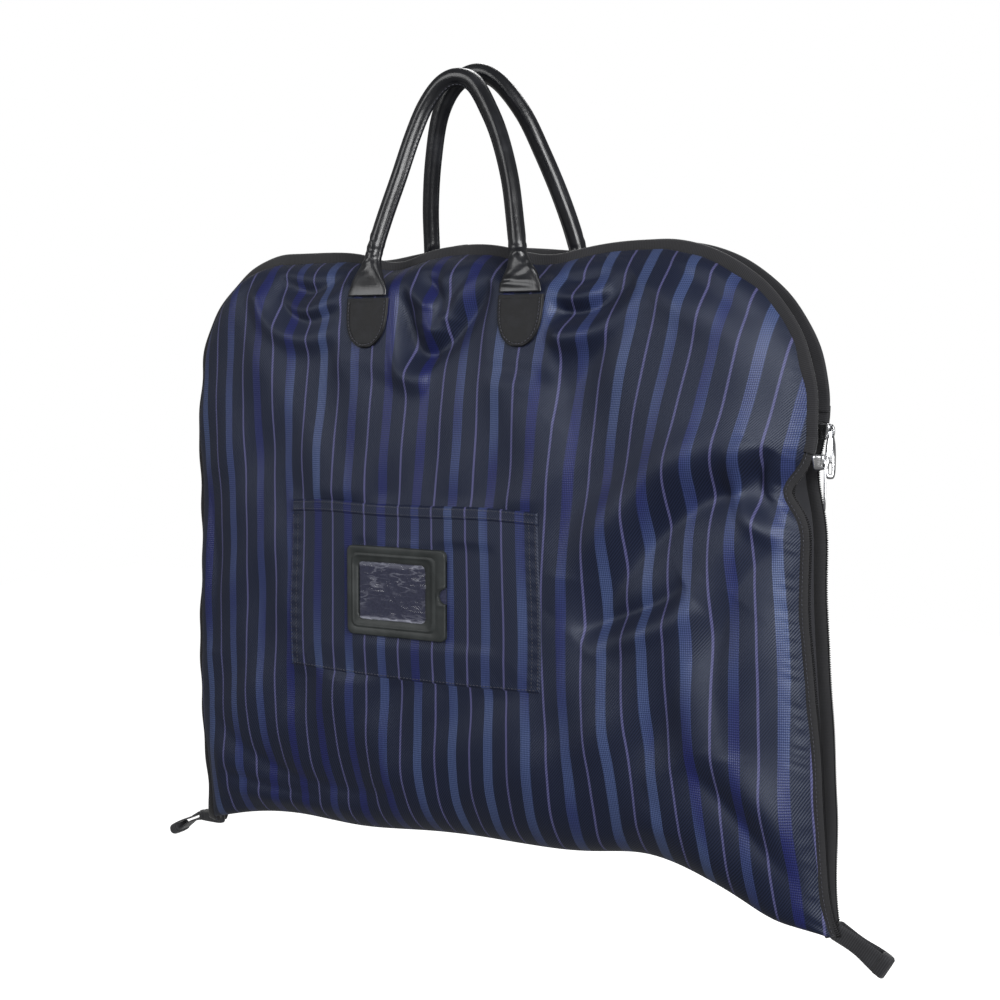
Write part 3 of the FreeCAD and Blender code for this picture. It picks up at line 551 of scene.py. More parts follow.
def lifted(x, height, side):
    """Height after the fold's arch and the top's waves are added to a flat height."""
    share = np.clip(height / HEIGHT, 0, 1)
    return height + fold_arch(x) * np.clip(1 - height / 0.17, 0, 1) ** 1.4 + top_wave(x, side) * share**5

# %% [markdown]
# ## The striped cloth
# One length of satin makes both halves. It could be two boxes with round corners, but cloth bulges most
# where nothing holds it: fast near the sewn edges, then slowly to a soft crown, and round in a wide roll at
# the fold. The grid runs down the front, round the fold and up the back. Pulls from the handles and the zip
# are creases, each a valley with a ridge beside it along a drawn line.
# %% Bulge and creases
ROLL = 0.125
SEAM = 0.008
FEET = {side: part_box(f"{name}_handle_patch_left") for side, name in HALVES}
FOOT_APART = 0.0725
PATCH_LEVEL = 0.456
FOOT_MIDDLE = {side: (box[0][0] + box[1][0]) / 2 + FOOT_APART for side, box in FEET.items()}


def bulge(x, height, side):
    """Depth of the cloth from the middle plane: the edge depth plus a bulge.

    With t the distance in from the seam, the bulge is 1 - 0.62 exp(-t / a) - 0.38 (1 - t / 0.26)^2.
    """
    from_left = x - left_x(height, SEAM)
    from_right = right_x(height, SEAM, side) - x
    from_top = HEIGHT - SEAM - height
    inset = -np.log(np.exp(-from_left / 0.02) + np.exp(-from_right / 0.02) + np.exp(-from_top / 0.02)) * 0.02
    inset = np.maximum(np.minimum(np.minimum(np.minimum(from_left, from_right), from_top), inset + 0.012), 0)
    firm = np.where(x < 0, 0.010, 0.010 + 0.012 * ease(0.0, 0.15, x))
    crown = np.maximum(1 - inset / 0.26, 0) ** 2
    rise = 1 - 0.62 * np.exp(-inset / firm) - 0.38 * crown
    return EDGE + (FACE - EDGE) * rise


def crease(x, height, points, width, depth, ridge=0.7, shift=1.6):
    """A pull in the cloth along a drawn line, as a change of depth.

    With d the distance to the line, signed by its side, it is ridge exp(-((d - s w) / w)^2) less a valley,
    exp(-(sqrt(d^2 + k^2) - k) / w), whose floor is only k wide. Both fade towards the ends of the line.
    """
    line = smooth_line(points, 26)
    near = np.full(x.shape, 1e9)
    signed = np.zeros(x.shape)
    share = np.zeros(x.shape)
    for k, ((px, ph), (qx, qh)) in enumerate(zip(line[:-1], line[1:])):
        tx, th = qx - px, qh - ph
        t = np.clip(((x - px) * tx + (height - ph) * th) / (tx * tx + th * th), 0, 1)
        dx, dh = x - px - t * tx, height - ph - t * th
        gap = dx * dx + dh * dh
        closer = gap < near
        near = np.where(closer, gap, near)
        signed = np.where(closer, dx * th - dh * tx, signed)
        share = np.where(closer, np.sin(math.pi * (k + t) / (len(line) - 1)), share)
    gap = np.sqrt(near) * np.sign(signed + 1e-12)
    floor = 0.22 * width
    valley = np.exp(-(np.sqrt(gap * gap + floor**2) - floor) / (0.8 * width))
    crest = ridge * np.exp(-(((gap - shift * width) / width) ** 2))
    return depth * np.maximum(share, 0) ** 0.6 * (crest - valley)


FRONT_CREASES = [
    ([(-0.205, 0.508), (-0.165, 0.489), (-0.144, 0.487), (-0.106, 0.505)], 0.011, 0.012),
    ([(-0.185, 0.500), (-0.182, 0.478), (-0.150, 0.462), (-0.108, 0.474)], 0.010, 0.010),
    ([(-0.064, 0.504), (-0.054, 0.470), (-0.041, 0.436), (-0.020, 0.428)], 0.011, 0.014),
    ([(0.030, 0.490), (0.012, 0.466), (-0.012, 0.440), (-0.034, 0.430)], 0.012, 0.014),
    ([(-0.050, 0.506), (-0.020, 0.478), (-0.022, 0.452)], 0.008, 0.010),
    ([(0.020, 0.508), (-0.004, 0.484), (-0.012, 0.462)], 0.008, 0.008),
    ([(0.072, 0.482), (0.092, 0.468), (0.120, 0.468), (0.150, 0.492)], 0.011, 0.013),
    ([(0.078, 0.502), (0.104, 0.492), (0.130, 0.496)], 0.008, 0.009),
    ([(0.160, 0.506), (0.200, 0.488), (0.250, 0.455)], 0.013, 0.006),
    ([(0.082, 0.445), (0.102, 0.400), (0.110, 0.340), (0.100, 0.262)], 0.024, 0.006),
    ([(0.150, 0.488), (0.130, 0.440), (0.085, 0.385)], 0.018, 0.005),
    ([(0.279, 0.311), (0.246, 0.329), (0.212, 0.323), (0.175, 0.294), (0.142, 0.254), (0.112, 0.215)],
     0.021, 0.014),
    ([(0.262, 0.362), (0.250, 0.342), (0.258, 0.322), (0.284, 0.306)], 0.009, 0.012),
    ([(0.110, 0.218), (0.142, 0.231), (0.178, 0.246), (0.200, 0.262)], 0.010, 0.007),
    ([(0.276, 0.300), (0.238, 0.262), (0.222, 0.205), (0.232, 0.130)], 0.014, 0.006),
    ([(0.240, 0.250), (0.190, 0.175), (0.165, 0.100), (0.190, 0.050)], 0.022, 0.005),
    ([(-0.262, 0.110), (-0.200, 0.062), (-0.130, 0.048), (-0.050, 0.052)], 0.016, 0.006),
    ([(-0.255, 0.052), (-0.200, 0.036), (-0.140, 0.034)], 0.010, 0.005),
    ([(-0.268, 0.330), (-0.255, 0.250), (-0.262, 0.170)], 0.015, 0.005),
    ([(0.292, 0.030), (0.240, 0.080), (0.200, 0.120)], 0.015, 0.006),
]
BACK_CREASES = [
    ([(-0.070, 0.474), (-0.040, 0.436), (0.010, 0.432), (0.060, 0.474)], 0.013, 0.010),
    ([(-0.190, 0.495), (-0.150, 0.455), (-0.108, 0.474)], 0.010, 0.008),
    ([(0.190, 0.498), (0.150, 0.458), (0.106, 0.474)], 0.010, 0.008),
    ([(0.262, 0.334), (0.200, 0.300), (0.130, 0.230)], 0.014, 0.006),
    ([(-0.250, 0.300), (-0.190, 0.200), (-0.170, 0.110)], 0.020, 0.005),
    ([(-0.240, 0.060), (-0.120, 0.045), (0.060, 0.050)], 0.014, 0.005),
]


def ripples(x, height, seed):
    """Soft unevenness: a sum of crossed sine waves, 55 to 160 mm long, with seeded turns and phases."""
    rng = np.random.default_rng(seed)
    total = np.zeros(np.shape(x))
    for wave in (0.16, 0.11, 0.083, 0.055):
        turn, phase = rng.uniform(-0.6, 0.6), rng.uniform(0, TAU, 2)
        along = x * math.cos(turn) + height * math.sin(turn)
        other = height * math.cos(turn) - x * math.sin(turn)
        total += wave * np.sin(along * TAU / wave + phase[0]) * np.sin(other * TAU / (wave * 1.7) + phase[1])
    return total


def seam_distance(x, height, side):
    """How far in from the sewn edge a point lies: the least of its distances to the two sides and the top."""
    sides = np.minimum(x - left_x(height, SEAM), right_x(height, SEAM, side) - x)
    return np.maximum(np.minimum(sides, HEIGHT - SEAM - height), 0)


def patch_depth(side, x, height):
    """Depth of the sloping plane that the handle patches are sewn to, where they hold the cloth flat."""
    low, high = FEET[side]
    shallow, deep = sorted(abs(value) for value in (low[1], high[1]))
    share = np.clip((high[2] - FOLD - height) / (high[2] - low[2]), -0.3, 1.2)
    return shallow + (deep - shallow - 0.0016) * share + 0 * x


def patch_hold(x, height, side):
    """How firmly a patch holds the cloth flat: 1 under either handle patch, and nothing 15 mm beyond it."""
    held = 0
    for hand in (-1, 1):
        gap = np.abs(x - FOOT_MIDDLE[side] - hand * FOOT_APART)
        held = held + ease(0.036, 0.021, gap) * ease(0.048, 0.030, np.abs(height - PATCH_LEVEL))
    return held


def cloth_depth(x, height, side):
    """Depth of the finished cloth above the roll: the bulge, creases, soft waves and puckers at the seams.

    A pucker is a sine along the side of about 10 mm with a drifting phase, which fades in 9 mm from the seam.
    """
    height = np.asarray(height, float) + np.zeros(np.shape(x))
    near = seam_distance(x, height, side)
    moved = ripples(x, height, 3 if side == FRONT else 8) * 0.014
    for points, width, deep in FRONT_CREASES if side == FRONT else BACK_CREASES:
        moved = moved + crease(x, height, points, width, deep)
    if side == FRONT:
        still = ease(-0.172, -0.158, x) * ease(0.094, 0.080, x)
        still = still * ease(0.158, 0.172, height) * ease(0.322, 0.306, height)
        moved = moved * (1 - 0.85 * still)
    along = height + 0.4 * x
    phase = 2.5 * np.sin(along * TAU / 0.083) + 1.7 * np.sin(along * TAU / 0.031)
    reach = 0.006 + 0.003 * np.sin(along * TAU / 0.057)
    pucker = np.sin(along * TAU / 0.010 + phase) * np.exp(-((near - 0.004) / reach) ** 2)
    pucker = pucker * (0.0002 + 0.0004 * ease(0.0, 0.2, x) * ease(0.40, 0.30, height))
    depth = bulge(x, height, side) + moved * ease(0.0, 0.03, near) + pucker * ease(0.0, 0.003, near)
    held = patch_hold(x, height, side)
    return depth * (1 - held) + (patch_depth(side, x, height) - 0.0002) * held


def fall(height):
    """Share of the depth left where the seam turns into the fold: a quick round, from nothing to all."""
    turn = np.clip(1 - np.asarray(height, float) / ROLL, 0, 1)
    return np.maximum(1 - turn**2, 0) ** 0.18


def rim_shift(x, height, side):
    """The two rims bow apart on the right: extra depth there, and none at the fold."""
    if side == FRONT:
        return 0.001 * fall(height)
    apart = 0.009 * ease(0.05, 0.28, x) + 0.003 + 0.003 * hump(x, -0.02, 0.06) * ease(0.4, 0.5, height)
    return apart * ease(0.0, 0.09, height)


def half_cloth(u, height, roll, side):
    """Points of one half: u runs across from -1 to 1, roll turns from the fold, 0, to the face, 90 degrees.

    Depth is times sin(roll) to a power that is 1 over the body and less at the seams, which fold tighter.
    The side's pinch moves only the columns near it, as the fifth power of the share across.
    """
    left, right = left_x(height, SEAM), side_line(height, SEAM)
    share = (u + 1) / 2
    x = left + (right - left) * share - pinch(height, side) * share**5
    body = ease(0.0, 0.12, seam_distance(x, height, side))
    depth = cloth_depth(x, height, side)
    depth = depth + rim_shift(x, height, side) * (1 - body) * (1 - patch_hold(x, height, side))
    depth = depth * np.sin(roll) ** (0.36 + 0.64 * body)
    return np.stack([x, side * depth, FOLD + lifted(x, height, side)], axis=-1)


COLUMNS = 240
LEAN_ABOVE, LEAN_BELOW = 0.31, 0.28


def striped_cloth():
    """Rows down the front, round the fold, up the back; the UV map is across and along the cloth.

    The zip's pull turns the cloth on the right: its stripes lean outwards above one height and below another,
    each way by a slope times the soft plus of the distance beyond that height.
    """
    tall = np.concatenate([HEIGHT - SEAM - 0.03 * np.linspace(0, 1, 16) ** 2,
                           np.linspace(HEIGHT - SEAM - 0.0325, ROLL, 150)])
    turn = np.linspace(math.pi / 2, 0, 40)[1:]
    height = np.concatenate([tall, ROLL * (1 - np.cos(turn))])
    roll = np.concatenate([np.full(len(tall), math.pi / 2), turn])
    spread = math.pi / 2 * 0.72
    u = np.sin(np.linspace(-1, 1, COLUMNS) * spread) / math.sin(spread)
    front = half_cloth(u[None, :], height[:, None], roll[:, None], FRONT)
    back = half_cloth(u[None, :], height[::-1, None], roll[::-1, None], BACK)
    front[-1] = (front[-1] + back[0]) / 2
    points = np.concatenate([front, back[1:]])
    along = lengths(points[:, COLUMNS // 2])
    along = along - along[len(height) - 1]
    x, level = points[..., 0], np.concatenate([height, height[-2::-1]])[:, None]
    lean = 0.16 * 0.02 * np.logaddexp(0, (level - LEAN_ABOVE) / 0.02) * ease(-0.16, 0.24, x)
    lean = lean + 0.07 * 0.03 * np.logaddexp(0, (LEAN_BELOW - level) / 0.03) * ease(-0.02, 0.28, x)
    waver = 0.0016 * np.sin(level * TAU / 0.21 + x * 17)
    flat = layers(x - lean + waver, along[:, None])
    return grid_mesh("striped_cloth", points, SATIN, flat), along[0]


cloth, front_length = striped_cloth()
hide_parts("front_panel", "back_panel")
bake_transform(cloth)
print(f"striped cloth: {len(cloth.data.vertices)} points, {abs(front_length):.3f} m down the front")

# %% [markdown]
# ## Linings
# A thin plain lining closes the open side of each half, sewn in under the edge tape. A flat sheet would look
# like board, so it is a grid with shallow slack waves that die out at the seams.
# %% Linings
LINING_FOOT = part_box("front_lining")[0][2] - FOLD


def lining(side, name):
    """A flat sheet, 1.2 mm from the middle plane, with waves pushed into the half."""
    height = np.linspace(LINING_FOOT, HEIGHT - BAND + 0.003, 90)[:, None]
    u = np.linspace(-1, 1, 110)[None, :]
    left, right = left_x(height, BAND - 0.003), right_x(height, BAND - 0.003, side)
    x = left + (right - left) * (u + 1) / 2
    inner = (1 - u**6) * ease(LINING_FOOT - 0.05, LINING_FOOT + 0.05, height)
    inner = inner * ease(HEIGHT, HEIGHT - 0.06, height)
    sag = 0.004 + ripples(x, height, 21 + side) * 0.02
    edge = (1 - inner) * (EDGE - 0.005 + rim_shift(x, height, side))
    depth = np.maximum(0.0012 + np.maximum(sag, 0) * inner, edge)
    z = FOLD + lifted(x, height, side)
    points = layers(x, side * depth, z)
    uv = layers(x, height)
    sheet = grid_mesh(f"{name}_lining_cloth", points, LINING, uv, flip=side == BACK)
    dress(sheet, f"{name}_half", "lining_cloth", f"{name}_lining")
    2 * HALF_WIDTH - 0.03
    return sheet


for side, name in HALVES:
    print(f"{name}_lining_cloth", len(lining(side, name).data.vertices), "points")

# %% [markdown]
# ## Edge tape
# Ribbed tape is folded over the raw edge of cloth and lining and sewn through. It could be a bevelled
# curve, but a profile carried along the outline lets it lie flat on the front, round over the outer edge and
# ripple with the cloth.
# %% Edge tape
def tape_profile(width, thick):
    """A folded tape: flat front and back, a round outer edge, and a slightly lifted inner edge."""
    turn = np.linspace(-math.pi / 2, math.pi / 2, 7)
    x = np.concatenate([[-width, -width * 0.55], thick / 2 * (np.cos(turn) - 1), [-width * 0.55, -width]])
    y = np.concatenate([[-0.42, -0.52], 0.5 * np.sin(turn), [0.52, 0.42]]) * thick
    return np.stack([x, y], axis=1)


def outline_path(side, low, right_end, count=560):
    """The outline as a path: up the left side, over the shoulders and top, down the right side."""
    turn = np.linspace(0, math.pi / 2, 90)
    up = np.concatenate([np.linspace(low, HEIGHT - LEFT_SHOULDER, 150),
                         HEIGHT - LEFT_SHOULDER * (1 - np.sin(turn))[1:]])
    down = np.concatenate([HEIGHT - SHOULDER * (1 - np.sin(turn[::-1])),
                           np.linspace(HEIGHT - SHOULDER, right_end, 150)[1:]])
    top = np.linspace(left_x(HEIGHT, 0), right_x(HEIGHT, 0, side), 120)[1:-1]
    x = np.concatenate([left_x(up, 0), top, right_x(down, 0, side)])
    z = np.concatenate([up, np.full(len(top), HEIGHT), down])
    return even(np.stack([x, z], axis=1), count)


def band_ripple(path, side):
    """The tape's waver to front and back along its length: two sine waves, larger along the top."""
    run = lengths(path)
    soft = 0.0012 * np.sin(run * TAU / 0.13 + side) + 0.0007 * np.sin(run * TAU / 0.047)
    top = ease(0.40, 0.50, path[:, 1]) * 0.003 * np.sin(path[:, 0] * TAU / 0.19 + 0.6)
    return soft + top


def tape_along(name, path, side, thick=0.0042, width=BAND, depth=EDGE - 0.002):
    """Folded tape along a path of (x, height): its outward side faces away from the bag's middle."""
    heights = path[:, 1]
    flat = np.stack([path[:, 0], lifted(path[:, 0], heights, side)], axis=1)
    tangent = unit(np.gradient(flat, axis=0))
    outward = np.stack([-tangent[:, 1], np.zeros(len(path)), tangent[:, 0]], axis=1)
    place = depth * fall(heights) + band_ripple(path, side) + rim_shift(path[:, 0], heights, side)
    spine = np.stack([flat[:, 0], side * place, FOLD + flat[:, 1]], axis=1)
    profile = tape_profile(width, thick)
    uv = ring_uv(lengths(flat), np.append(lengths(profile), lengths(profile)[-1] + thick))
    return tube(name, spine, outward, DEEP, profile, TAPE, uv), spine, outward


def edge_tape(name, path, side, body, node_name):
    """One length of edge tape on its body, and the line that it follows."""
    tape, spine, outward = tape_along(name, path, side)
    dress(tape, body, "edge_tape", node_name)
    return spine, outward


ZIP_TOP = {side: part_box(f"{name}_zip_end_tab")[0][2] - FOLD for side, name in HALVES}
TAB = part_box("front_zip_end_tab")[1][2] - FOLD - ZIP_TOP[FRONT]
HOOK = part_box("back_binding_right")[0][0]
front_rim = outline_path(FRONT, 0.001, ZIP_TOP[FRONT] + TAB * 0.6)
back_rim = outline_path(BACK, 0.001, ZIP_TOP[BACK] + TAB * 0.6)
on_left = (back_rim[:, 0] < -HOOK) & (np.arange(len(back_rim)) < len(back_rim) * 0.7)
on_right = (back_rim[:, 0] > HOOK) & (np.arange(len(back_rim)) > len(back_rim) * 0.3)
RIMS = {
    "front": [edge_tape("front_edge_tape", front_rim, FRONT, "front_half", "front_binding")],
    "back": [
        edge_tape("back_edge_tape_left", back_rim[on_left], BACK, "back_half", "back_binding_left"),
        edge_tape("back_edge_tape_right", back_rim[on_right], BACK, "back_half", "back_binding_right"),
    ],
}
print(f"edge tape: {lengths(front_rim)[-1]:.3f} m on the front, {lengths(back_rim)[-1]:.3f} m on the back")

# %% [markdown]
# ## Stitches
# A sewn row is hundreds of short threads that dip into the cloth at both ends. Each could be a copied
# object, but one mesh for a whole row is lighter: a four-ring capsule is worked out for every stitch at once.
# %% Stitch rows
def stitches(name, rows, body, every=0.0036, long=0.0026, wide=0.00042):
    """Capsules spaced along paths, each given as (points, outward directions).

    Ring k of a stitch stands at its centre + along * t_k + out * (lift_k + r_k cos) + side * r_k sin.
    """
    middles, alongs, outs = [], [], []
    for path, out in rows:
        run = lengths(path)
        spots = np.arange(every / 2, run[-1], every)
        middles.append(np.stack([np.interp(spots, run, path[:, k]) for k in range(3)], axis=1))
        step = unit(np.gradient(path, axis=0))
        alongs.append(unit(np.stack([np.interp(spots, run, step[:, k]) for k in range(3)], axis=1)))
        out = np.broadcast_to(out, path.shape)
        outs.append(unit(np.stack([np.interp(spots, run, out[:, k]) for k in range(3)], axis=1)))
    middle, along, out = (np.concatenate(part)[:, None, None] for part in (middles, alongs, outs))
    side = np.cross(along, out)
    turn = circle(6)
    t = (np.array([-0.5, -0.28, 0.28, 0.5]) * long)[None, :, None, None]
    r = (np.array([0.3, 1, 1, 0.3]) * wide)[None, :, None, None]
    lift = (np.array([-0.7, 0.4, 0.4, -0.7]) * wide)[None, :, None, None]
    cos, sin = np.cos(turn)[None, None, :, None], np.sin(turn)[None, None, :, None]
    points = middle + along * t + out * (lift + r * cos) + side * (r * sin)
    count = len(points)
    base = (np.arange(count) * 24)[:, None, None]
    ring, spoke = np.arange(3)[None, :, None] * 6, np.arange(6)[None, None, :]
    after = (spoke + 1) % 6
    quads = np.stack([base + ring + spoke, base + ring + 6 + spoke, base + ring + 6 + after,
                      base + ring + after], axis=-1).reshape(-1, 4)
    first = base[:, :, 0] + np.arange(6)
    last = base[:, :, 0] + 23 - np.arange(6)
    corner = np.concatenate([quads.ravel(), first.ravel(), last.ravel()])
    uv = np.stack([t[0, :, 0, 0][corner % 24 // 6], wide * turn[corner % 6]], axis=1)
    piece = new_piece(name, points, quads.tolist() + first.tolist() + last.tolist(), THREAD, uv)
    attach(piece, body)
    print(f"{name}: {count} stitches")


for side, name in HALVES:
    rows = []
    for spine, outward in RIMS[name]:
        proud = np.array([0, side * 0.0021, 0])
        rows.append((spine - outward * (BAND * 0.82) + proud * 0.95, (0, side, 0)))
    stitches(f"{name}_tape_stitches", rows, f"{name}_half", every=0.0042, long=0.003, wide=0.00032)

# %% [markdown]
# ## The zips
# Each half has a long zip down its right side, below the edge tape. Outside there is a tape with a nylon
# coil along its edge, and inside there is another pair. The coil could be a ribbed strip, but a real helix
# catches the light turn by turn, and a helix is one formula.
# %% Zip tapes and coils
COIL_WIDE = 0.0042
COIL_THICK = 0.0021
TURN = 0.0017
WIRE = 0.00045
TAPE_THICK = 0.00045


def zip_line(side, top, inset, depth, count=260, low=0.0012):
    """Points down the right side at a distance in from the edge and a depth, and the outward direction."""
    heights = np.linspace(low, top, count)
    x = right_x(heights, 0, side) - inset
    place = depth * fall(heights) + rim_shift(x, heights, side)
    flat = np.stack([x, lifted(x, heights, side)], axis=1)
    tangent = unit(np.gradient(flat, axis=0))
    outward = np.stack([tangent[:, 1], np.zeros(count), -tangent[:, 0]], axis=1)
    wave = 0.0006 * np.sin(heights * TAU / 0.071 + side) * side
    return np.stack([x, side * place + wave, FOLD + flat[:, 1]], axis=1), outward


def zip_tape(name, side, top, depth, body, node_name):
    """A thin flat ribbon with rounded edges, from the seam out over the coil that is sewn to it."""
    wide = BAND / 2 - 0.0006
    spine, outward = zip_line(side, top, BAND - wide, depth)
    x = np.array([-1, -0.97, 0.97, 1, 0.97, -0.97]) * wide
    y = np.array([0, -1, -1, 0, 1, 1]) * TAPE_THICK
    profile = np.stack([x, y], axis=1)[::-1]
    uv = ring_uv(lengths(spine), np.append(lengths(profile), 4 * wide + 4 * TAPE_THICK))
    dress(tube(name, spine, outward, DEEP, profile, ZIP_TAPE, uv), body, "zip_tape", node_name)
    return spine, outward


def zip_coil(name, side, top, depth, body, node_name):
    """A flattened helix: the wire's centre is spine + outward * a cos t + depth * b sin t."""
    steps = int(top / TURN) * 9
    spine, outward = zip_line(side, top, COIL_WIDE / 2, depth, steps)
    turn = lengths(spine) / TURN * TAU
    a, b = COIL_WIDE / 2 - WIRE, COIL_THICK / 2 - WIRE
    path = spine + outward * (a * np.cos(turn))[:, None]
    path[:, 1] += b * np.sin(turn)
    tangent = unit(np.gradient(path, axis=0))
    first = unit(path - spine)
    second = np.cross(tangent, first)
    ring = circle(5)
    profile = np.stack([np.cos(ring), np.sin(ring)], axis=1) * WIRE
    dress(tube(name, path, first, second, profile, COIL), body, "zip_coil", node_name)


# for each layer: how far its coil and its tape lie in from the edge's depth
LAYERS = {"outer": (0.00105, 0.00045), "inner": (0.00335, 0.00395)}
SEWN_AT = (-0.0050, 0.0012)
for side, name in HALVES:
    top, body = ZIP_TOP[side], f"{name}_half"
    lines = {}
    for place, (coil_in, tape_in) in LAYERS.items():
        old = f"{name}_{place}_zip"
        lines[place] = zip_tape(f"{name}_{place}_tape", side, top, EDGE - tape_in, body, f"{old}_tape")
        zip_coil(f"{name}_{place}_coil", side, top, EDGE - coil_in, body, f"{old}_coil")
    spine, outward = lines["outer"]
    lift = np.array([0, side * (TAPE_THICK + 0.00003), 0])
    rows = [(spine + outward * shift + lift, (0, side, 0)) for shift in SEWN_AT]
    stitches(f"{name}_zip_stitches", rows, body, every=0.0034, long=0.0024, wide=0.00028)
    heights = np.linspace(top - 0.001, top + TAB, 14)
    path = np.stack([right_x(heights, 0, side), heights], axis=1)[::-1]
    tab = tape_along(f"{name}_zip_tab", path, side, 0.0052, BAND + 0.0006, EDGE - 0.0021)[0]
    dress(tab, body, "edge_tape", f"{name}_zip_end_tab")
print("zips:", ", ".join(f"{name} {ZIP_TOP[side]:.3f} m" for side, name in HALVES))

# %% [markdown]
# ## Sliders and pulls
# A slider is a small plated casting: two shield-shaped plates with a bridge, and an arch that holds the pull.
# A box would look like a brick, so the plates are one grid whose width swells and narrows along the zip, and
# the pull is a rounded plate with a long slot.
# %% Slider, arch and pull
def round_ring(half_wide, half_thick, count=28, power=3.2):
    """A superellipse: |x / a|^p + |y / b|^p = 1, as points round it."""
    turn = circle(count)
    x = signed_power(np.cos(turn), 2 / power) * half_wide
    y = signed_power(np.sin(turn), 2 / power) * half_thick
    return np.stack([x, y], axis=1)


def slider(name, body, node_name):
    """Two plates and the arch over them, in the middle of the engineering slider's box."""
    low, high = (np.array(corner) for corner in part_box(node_name))
    middle = (low + high) / 2
    t = np.linspace(0, 1, 26)
    spine = middle + np.stack([0 * t - 0.0012, 0 * t, (high[2] - low[2]) * (t - 0.5)], axis=1)
    swell = 0.80 + 0.30 * ease(0.2, 0.8, t) - 0.10 * ease(0.85, 1.0, t)
    close = np.sqrt(np.clip(1 - (2 * t - 1) ** 8, 0.02, 1))
    ring = round_ring(1, 1)[None] * np.stack([0.0048 * swell * close, 0.0037 * close], axis=1)[:, None]
    ring[..., 1] *= 1 - 0.16 * np.exp(-(ring[..., :1][..., 0] / 0.0016) ** 2)
    dress(tube(name, spine, (1.0, 0, 0), DEEP, ring, METAL), body, "zip_metal", node_name)
    arc = np.linspace(0, math.pi, 22)
    top_x = high[0] - 0.0028
    path = np.stack([top_x + 0.0032 * np.sin(arc) ** 0.7, np.full(22, middle[1]),
                     middle[2] + 0.0050 * np.cos(arc)], axis=1)
    tangent = unit(np.gradient(path, axis=0))
    wire = round_ring(0.0012, 0.0006, 12, 2)
    dress(tube(f"{name}_arch", path, DEEP, np.cross(tangent, DEEP), wire, METAL), body, "zip_metal")


def pull(name, body, node_name, twist):
    """A plate with a slot: eight rings from the slot's back rim, round the outer edge, to its front rim."""
    low, high = (np.array(corner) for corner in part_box(node_name))
    centre = (low + high) / 2
    long, wide = high[2] - low[2], high[1] - low[1]
    turn = circle(64)
    y, z = signed_power(np.cos(turn), 0.55), signed_power(np.sin(turn), 0.38)
    neck = 1 - 0.42 * ease(0.15, 0.95, z)
    outer = np.stack([y * wide / 2 * neck, z * long / 2], axis=1)
    window = np.stack([y * wide * 0.17, z * long * 0.115 - long * 0.29], axis=1)
    thick = 0.0008
    half = [(window, 1.0, 0.8), (window, 1.25, 1.0), (outer, 0.94, 1.0), (outer, 1.0, 0.6)]
    rings = []
    for outline, shrink, level in [(*step[:2], -step[2]) for step in half] + half[::-1]:
        middle = outline.mean(axis=0)
        moved = middle + (outline - middle) * shrink
        rings.append(np.stack([np.full(64, level * thick), moved[:, 0], moved[:, 1]], axis=1))
    points = np.array(rings)
    cos, sin = math.cos(twist), math.sin(twist)
    x, y, z = np.moveaxis(points, -1, 0)
    turned = np.stack([x * cos - y * sin, x * sin + y * cos, z], axis=-1) + centre
    dress(grid_mesh(name, turned, METAL, wrap=(True, True), flip=True), body, "zip_metal", node_name)
    arc = circle(28)
    ring = np.stack([0.0016 * np.cos(arc) * -sin, 0.0022 * np.cos(arc), 0.0044 * np.sin(arc)], axis=1)
    ring = ring + centre + np.array([0, 0, long / 2 - 0.002])
    tangent = unit(np.roll(ring, -1, axis=0) - np.roll(ring, 1, axis=0))
    away = unit(ring - ring.mean(axis=0))
    bent = carry(ring, away, np.cross(tangent, away), round_ring(0.0006, 0.0006, 10, 2))
    dress(grid_mesh(f"{name}_link", bent, METAL, wrap=(True, True)), body, "zip_metal")


for (_, name), twist in zip(HALVES, (0.35, -0.85)):
    slider(f"{name}_slider", f"{name}_slider", f"{name}_zip_slider")
    pull(f"{name}_pull", f"{name}_pull", f"{name}_zip_pull", twist)
print("two sliders, two pulls")

# %% [markdown]
# ## Rolled handles
# A handle is a rope in a leather sleeve, sewn along its inner side, that is pressed flat into a foot just
# above the patch. A bevelled curve would give a perfect pipe, so the section changes as it goes: a lobed
# round on the arch, then wider and thinner to a flat foot, with folds where the leather has buckled.
# %% Handle sleeves
# each arch in millimetres from the middle of its feet and from the patches' top edges
FRONT_ARCH = [(-72.5, 0.8), (-71.5, 16), (-69, 38), (-62.5, 64), (-52, 98), (-42, 132), (-32, 157),
              (-19, 174), (-4, 179.5), (13, 173), (30, 149), (43, 124), (55, 91), (63.5, 55), (68.5, 30),
              (71.5, 14), (72.5, 0.8)]
BACK_ARCH = [(-72.5, 0.8), (-72, 20), (-70, 45), (-67, 80), (-60, 118), (-49, 154), (-32, 177), (-11, 185),
             (9, 177), (30, 150), (45, 117), (59, 80), (69, 45), (72, 20), (72.5, 0.8)]
# the patches' top edges, where the handles fold
CREASE = FOLD + HEIGHT - 0.040
FOOT_DEPTH = 0.0405
ARCH_HEIGHT = 0.175
GRIP = 0.0068
FOOT_WIDE, FOOT_THICK = 0.0188, 0.0016
ROUND = 36


def buckles(run, turn, seed):
    """Twenty short folds near the feet, each a crest beside a groove, bent round one side of the sleeve."""
    rng = np.random.default_rng(seed)
    folds = np.zeros((len(run), len(turn)))
    for _ in range(20):
        where = rng.uniform(0.004, 0.042)
        where = where if rng.random() < 0.5 else run[-1] - where
        skew, size, turned = rng.uniform(-0.012, 0.012), rng.uniform(0.5, 1.0), rng.uniform(0, TAU)
        off = run[:, None] - (where + skew * np.cos(turn - turned))
        reach = np.clip(np.cos(turn - turned) * 0.8 + 0.4, 0, 1)
        folds += size * reach * (hump(off, 0.0035, 0.0022) - 0.9 * hump(off, 0, 0.0024))
    return folds


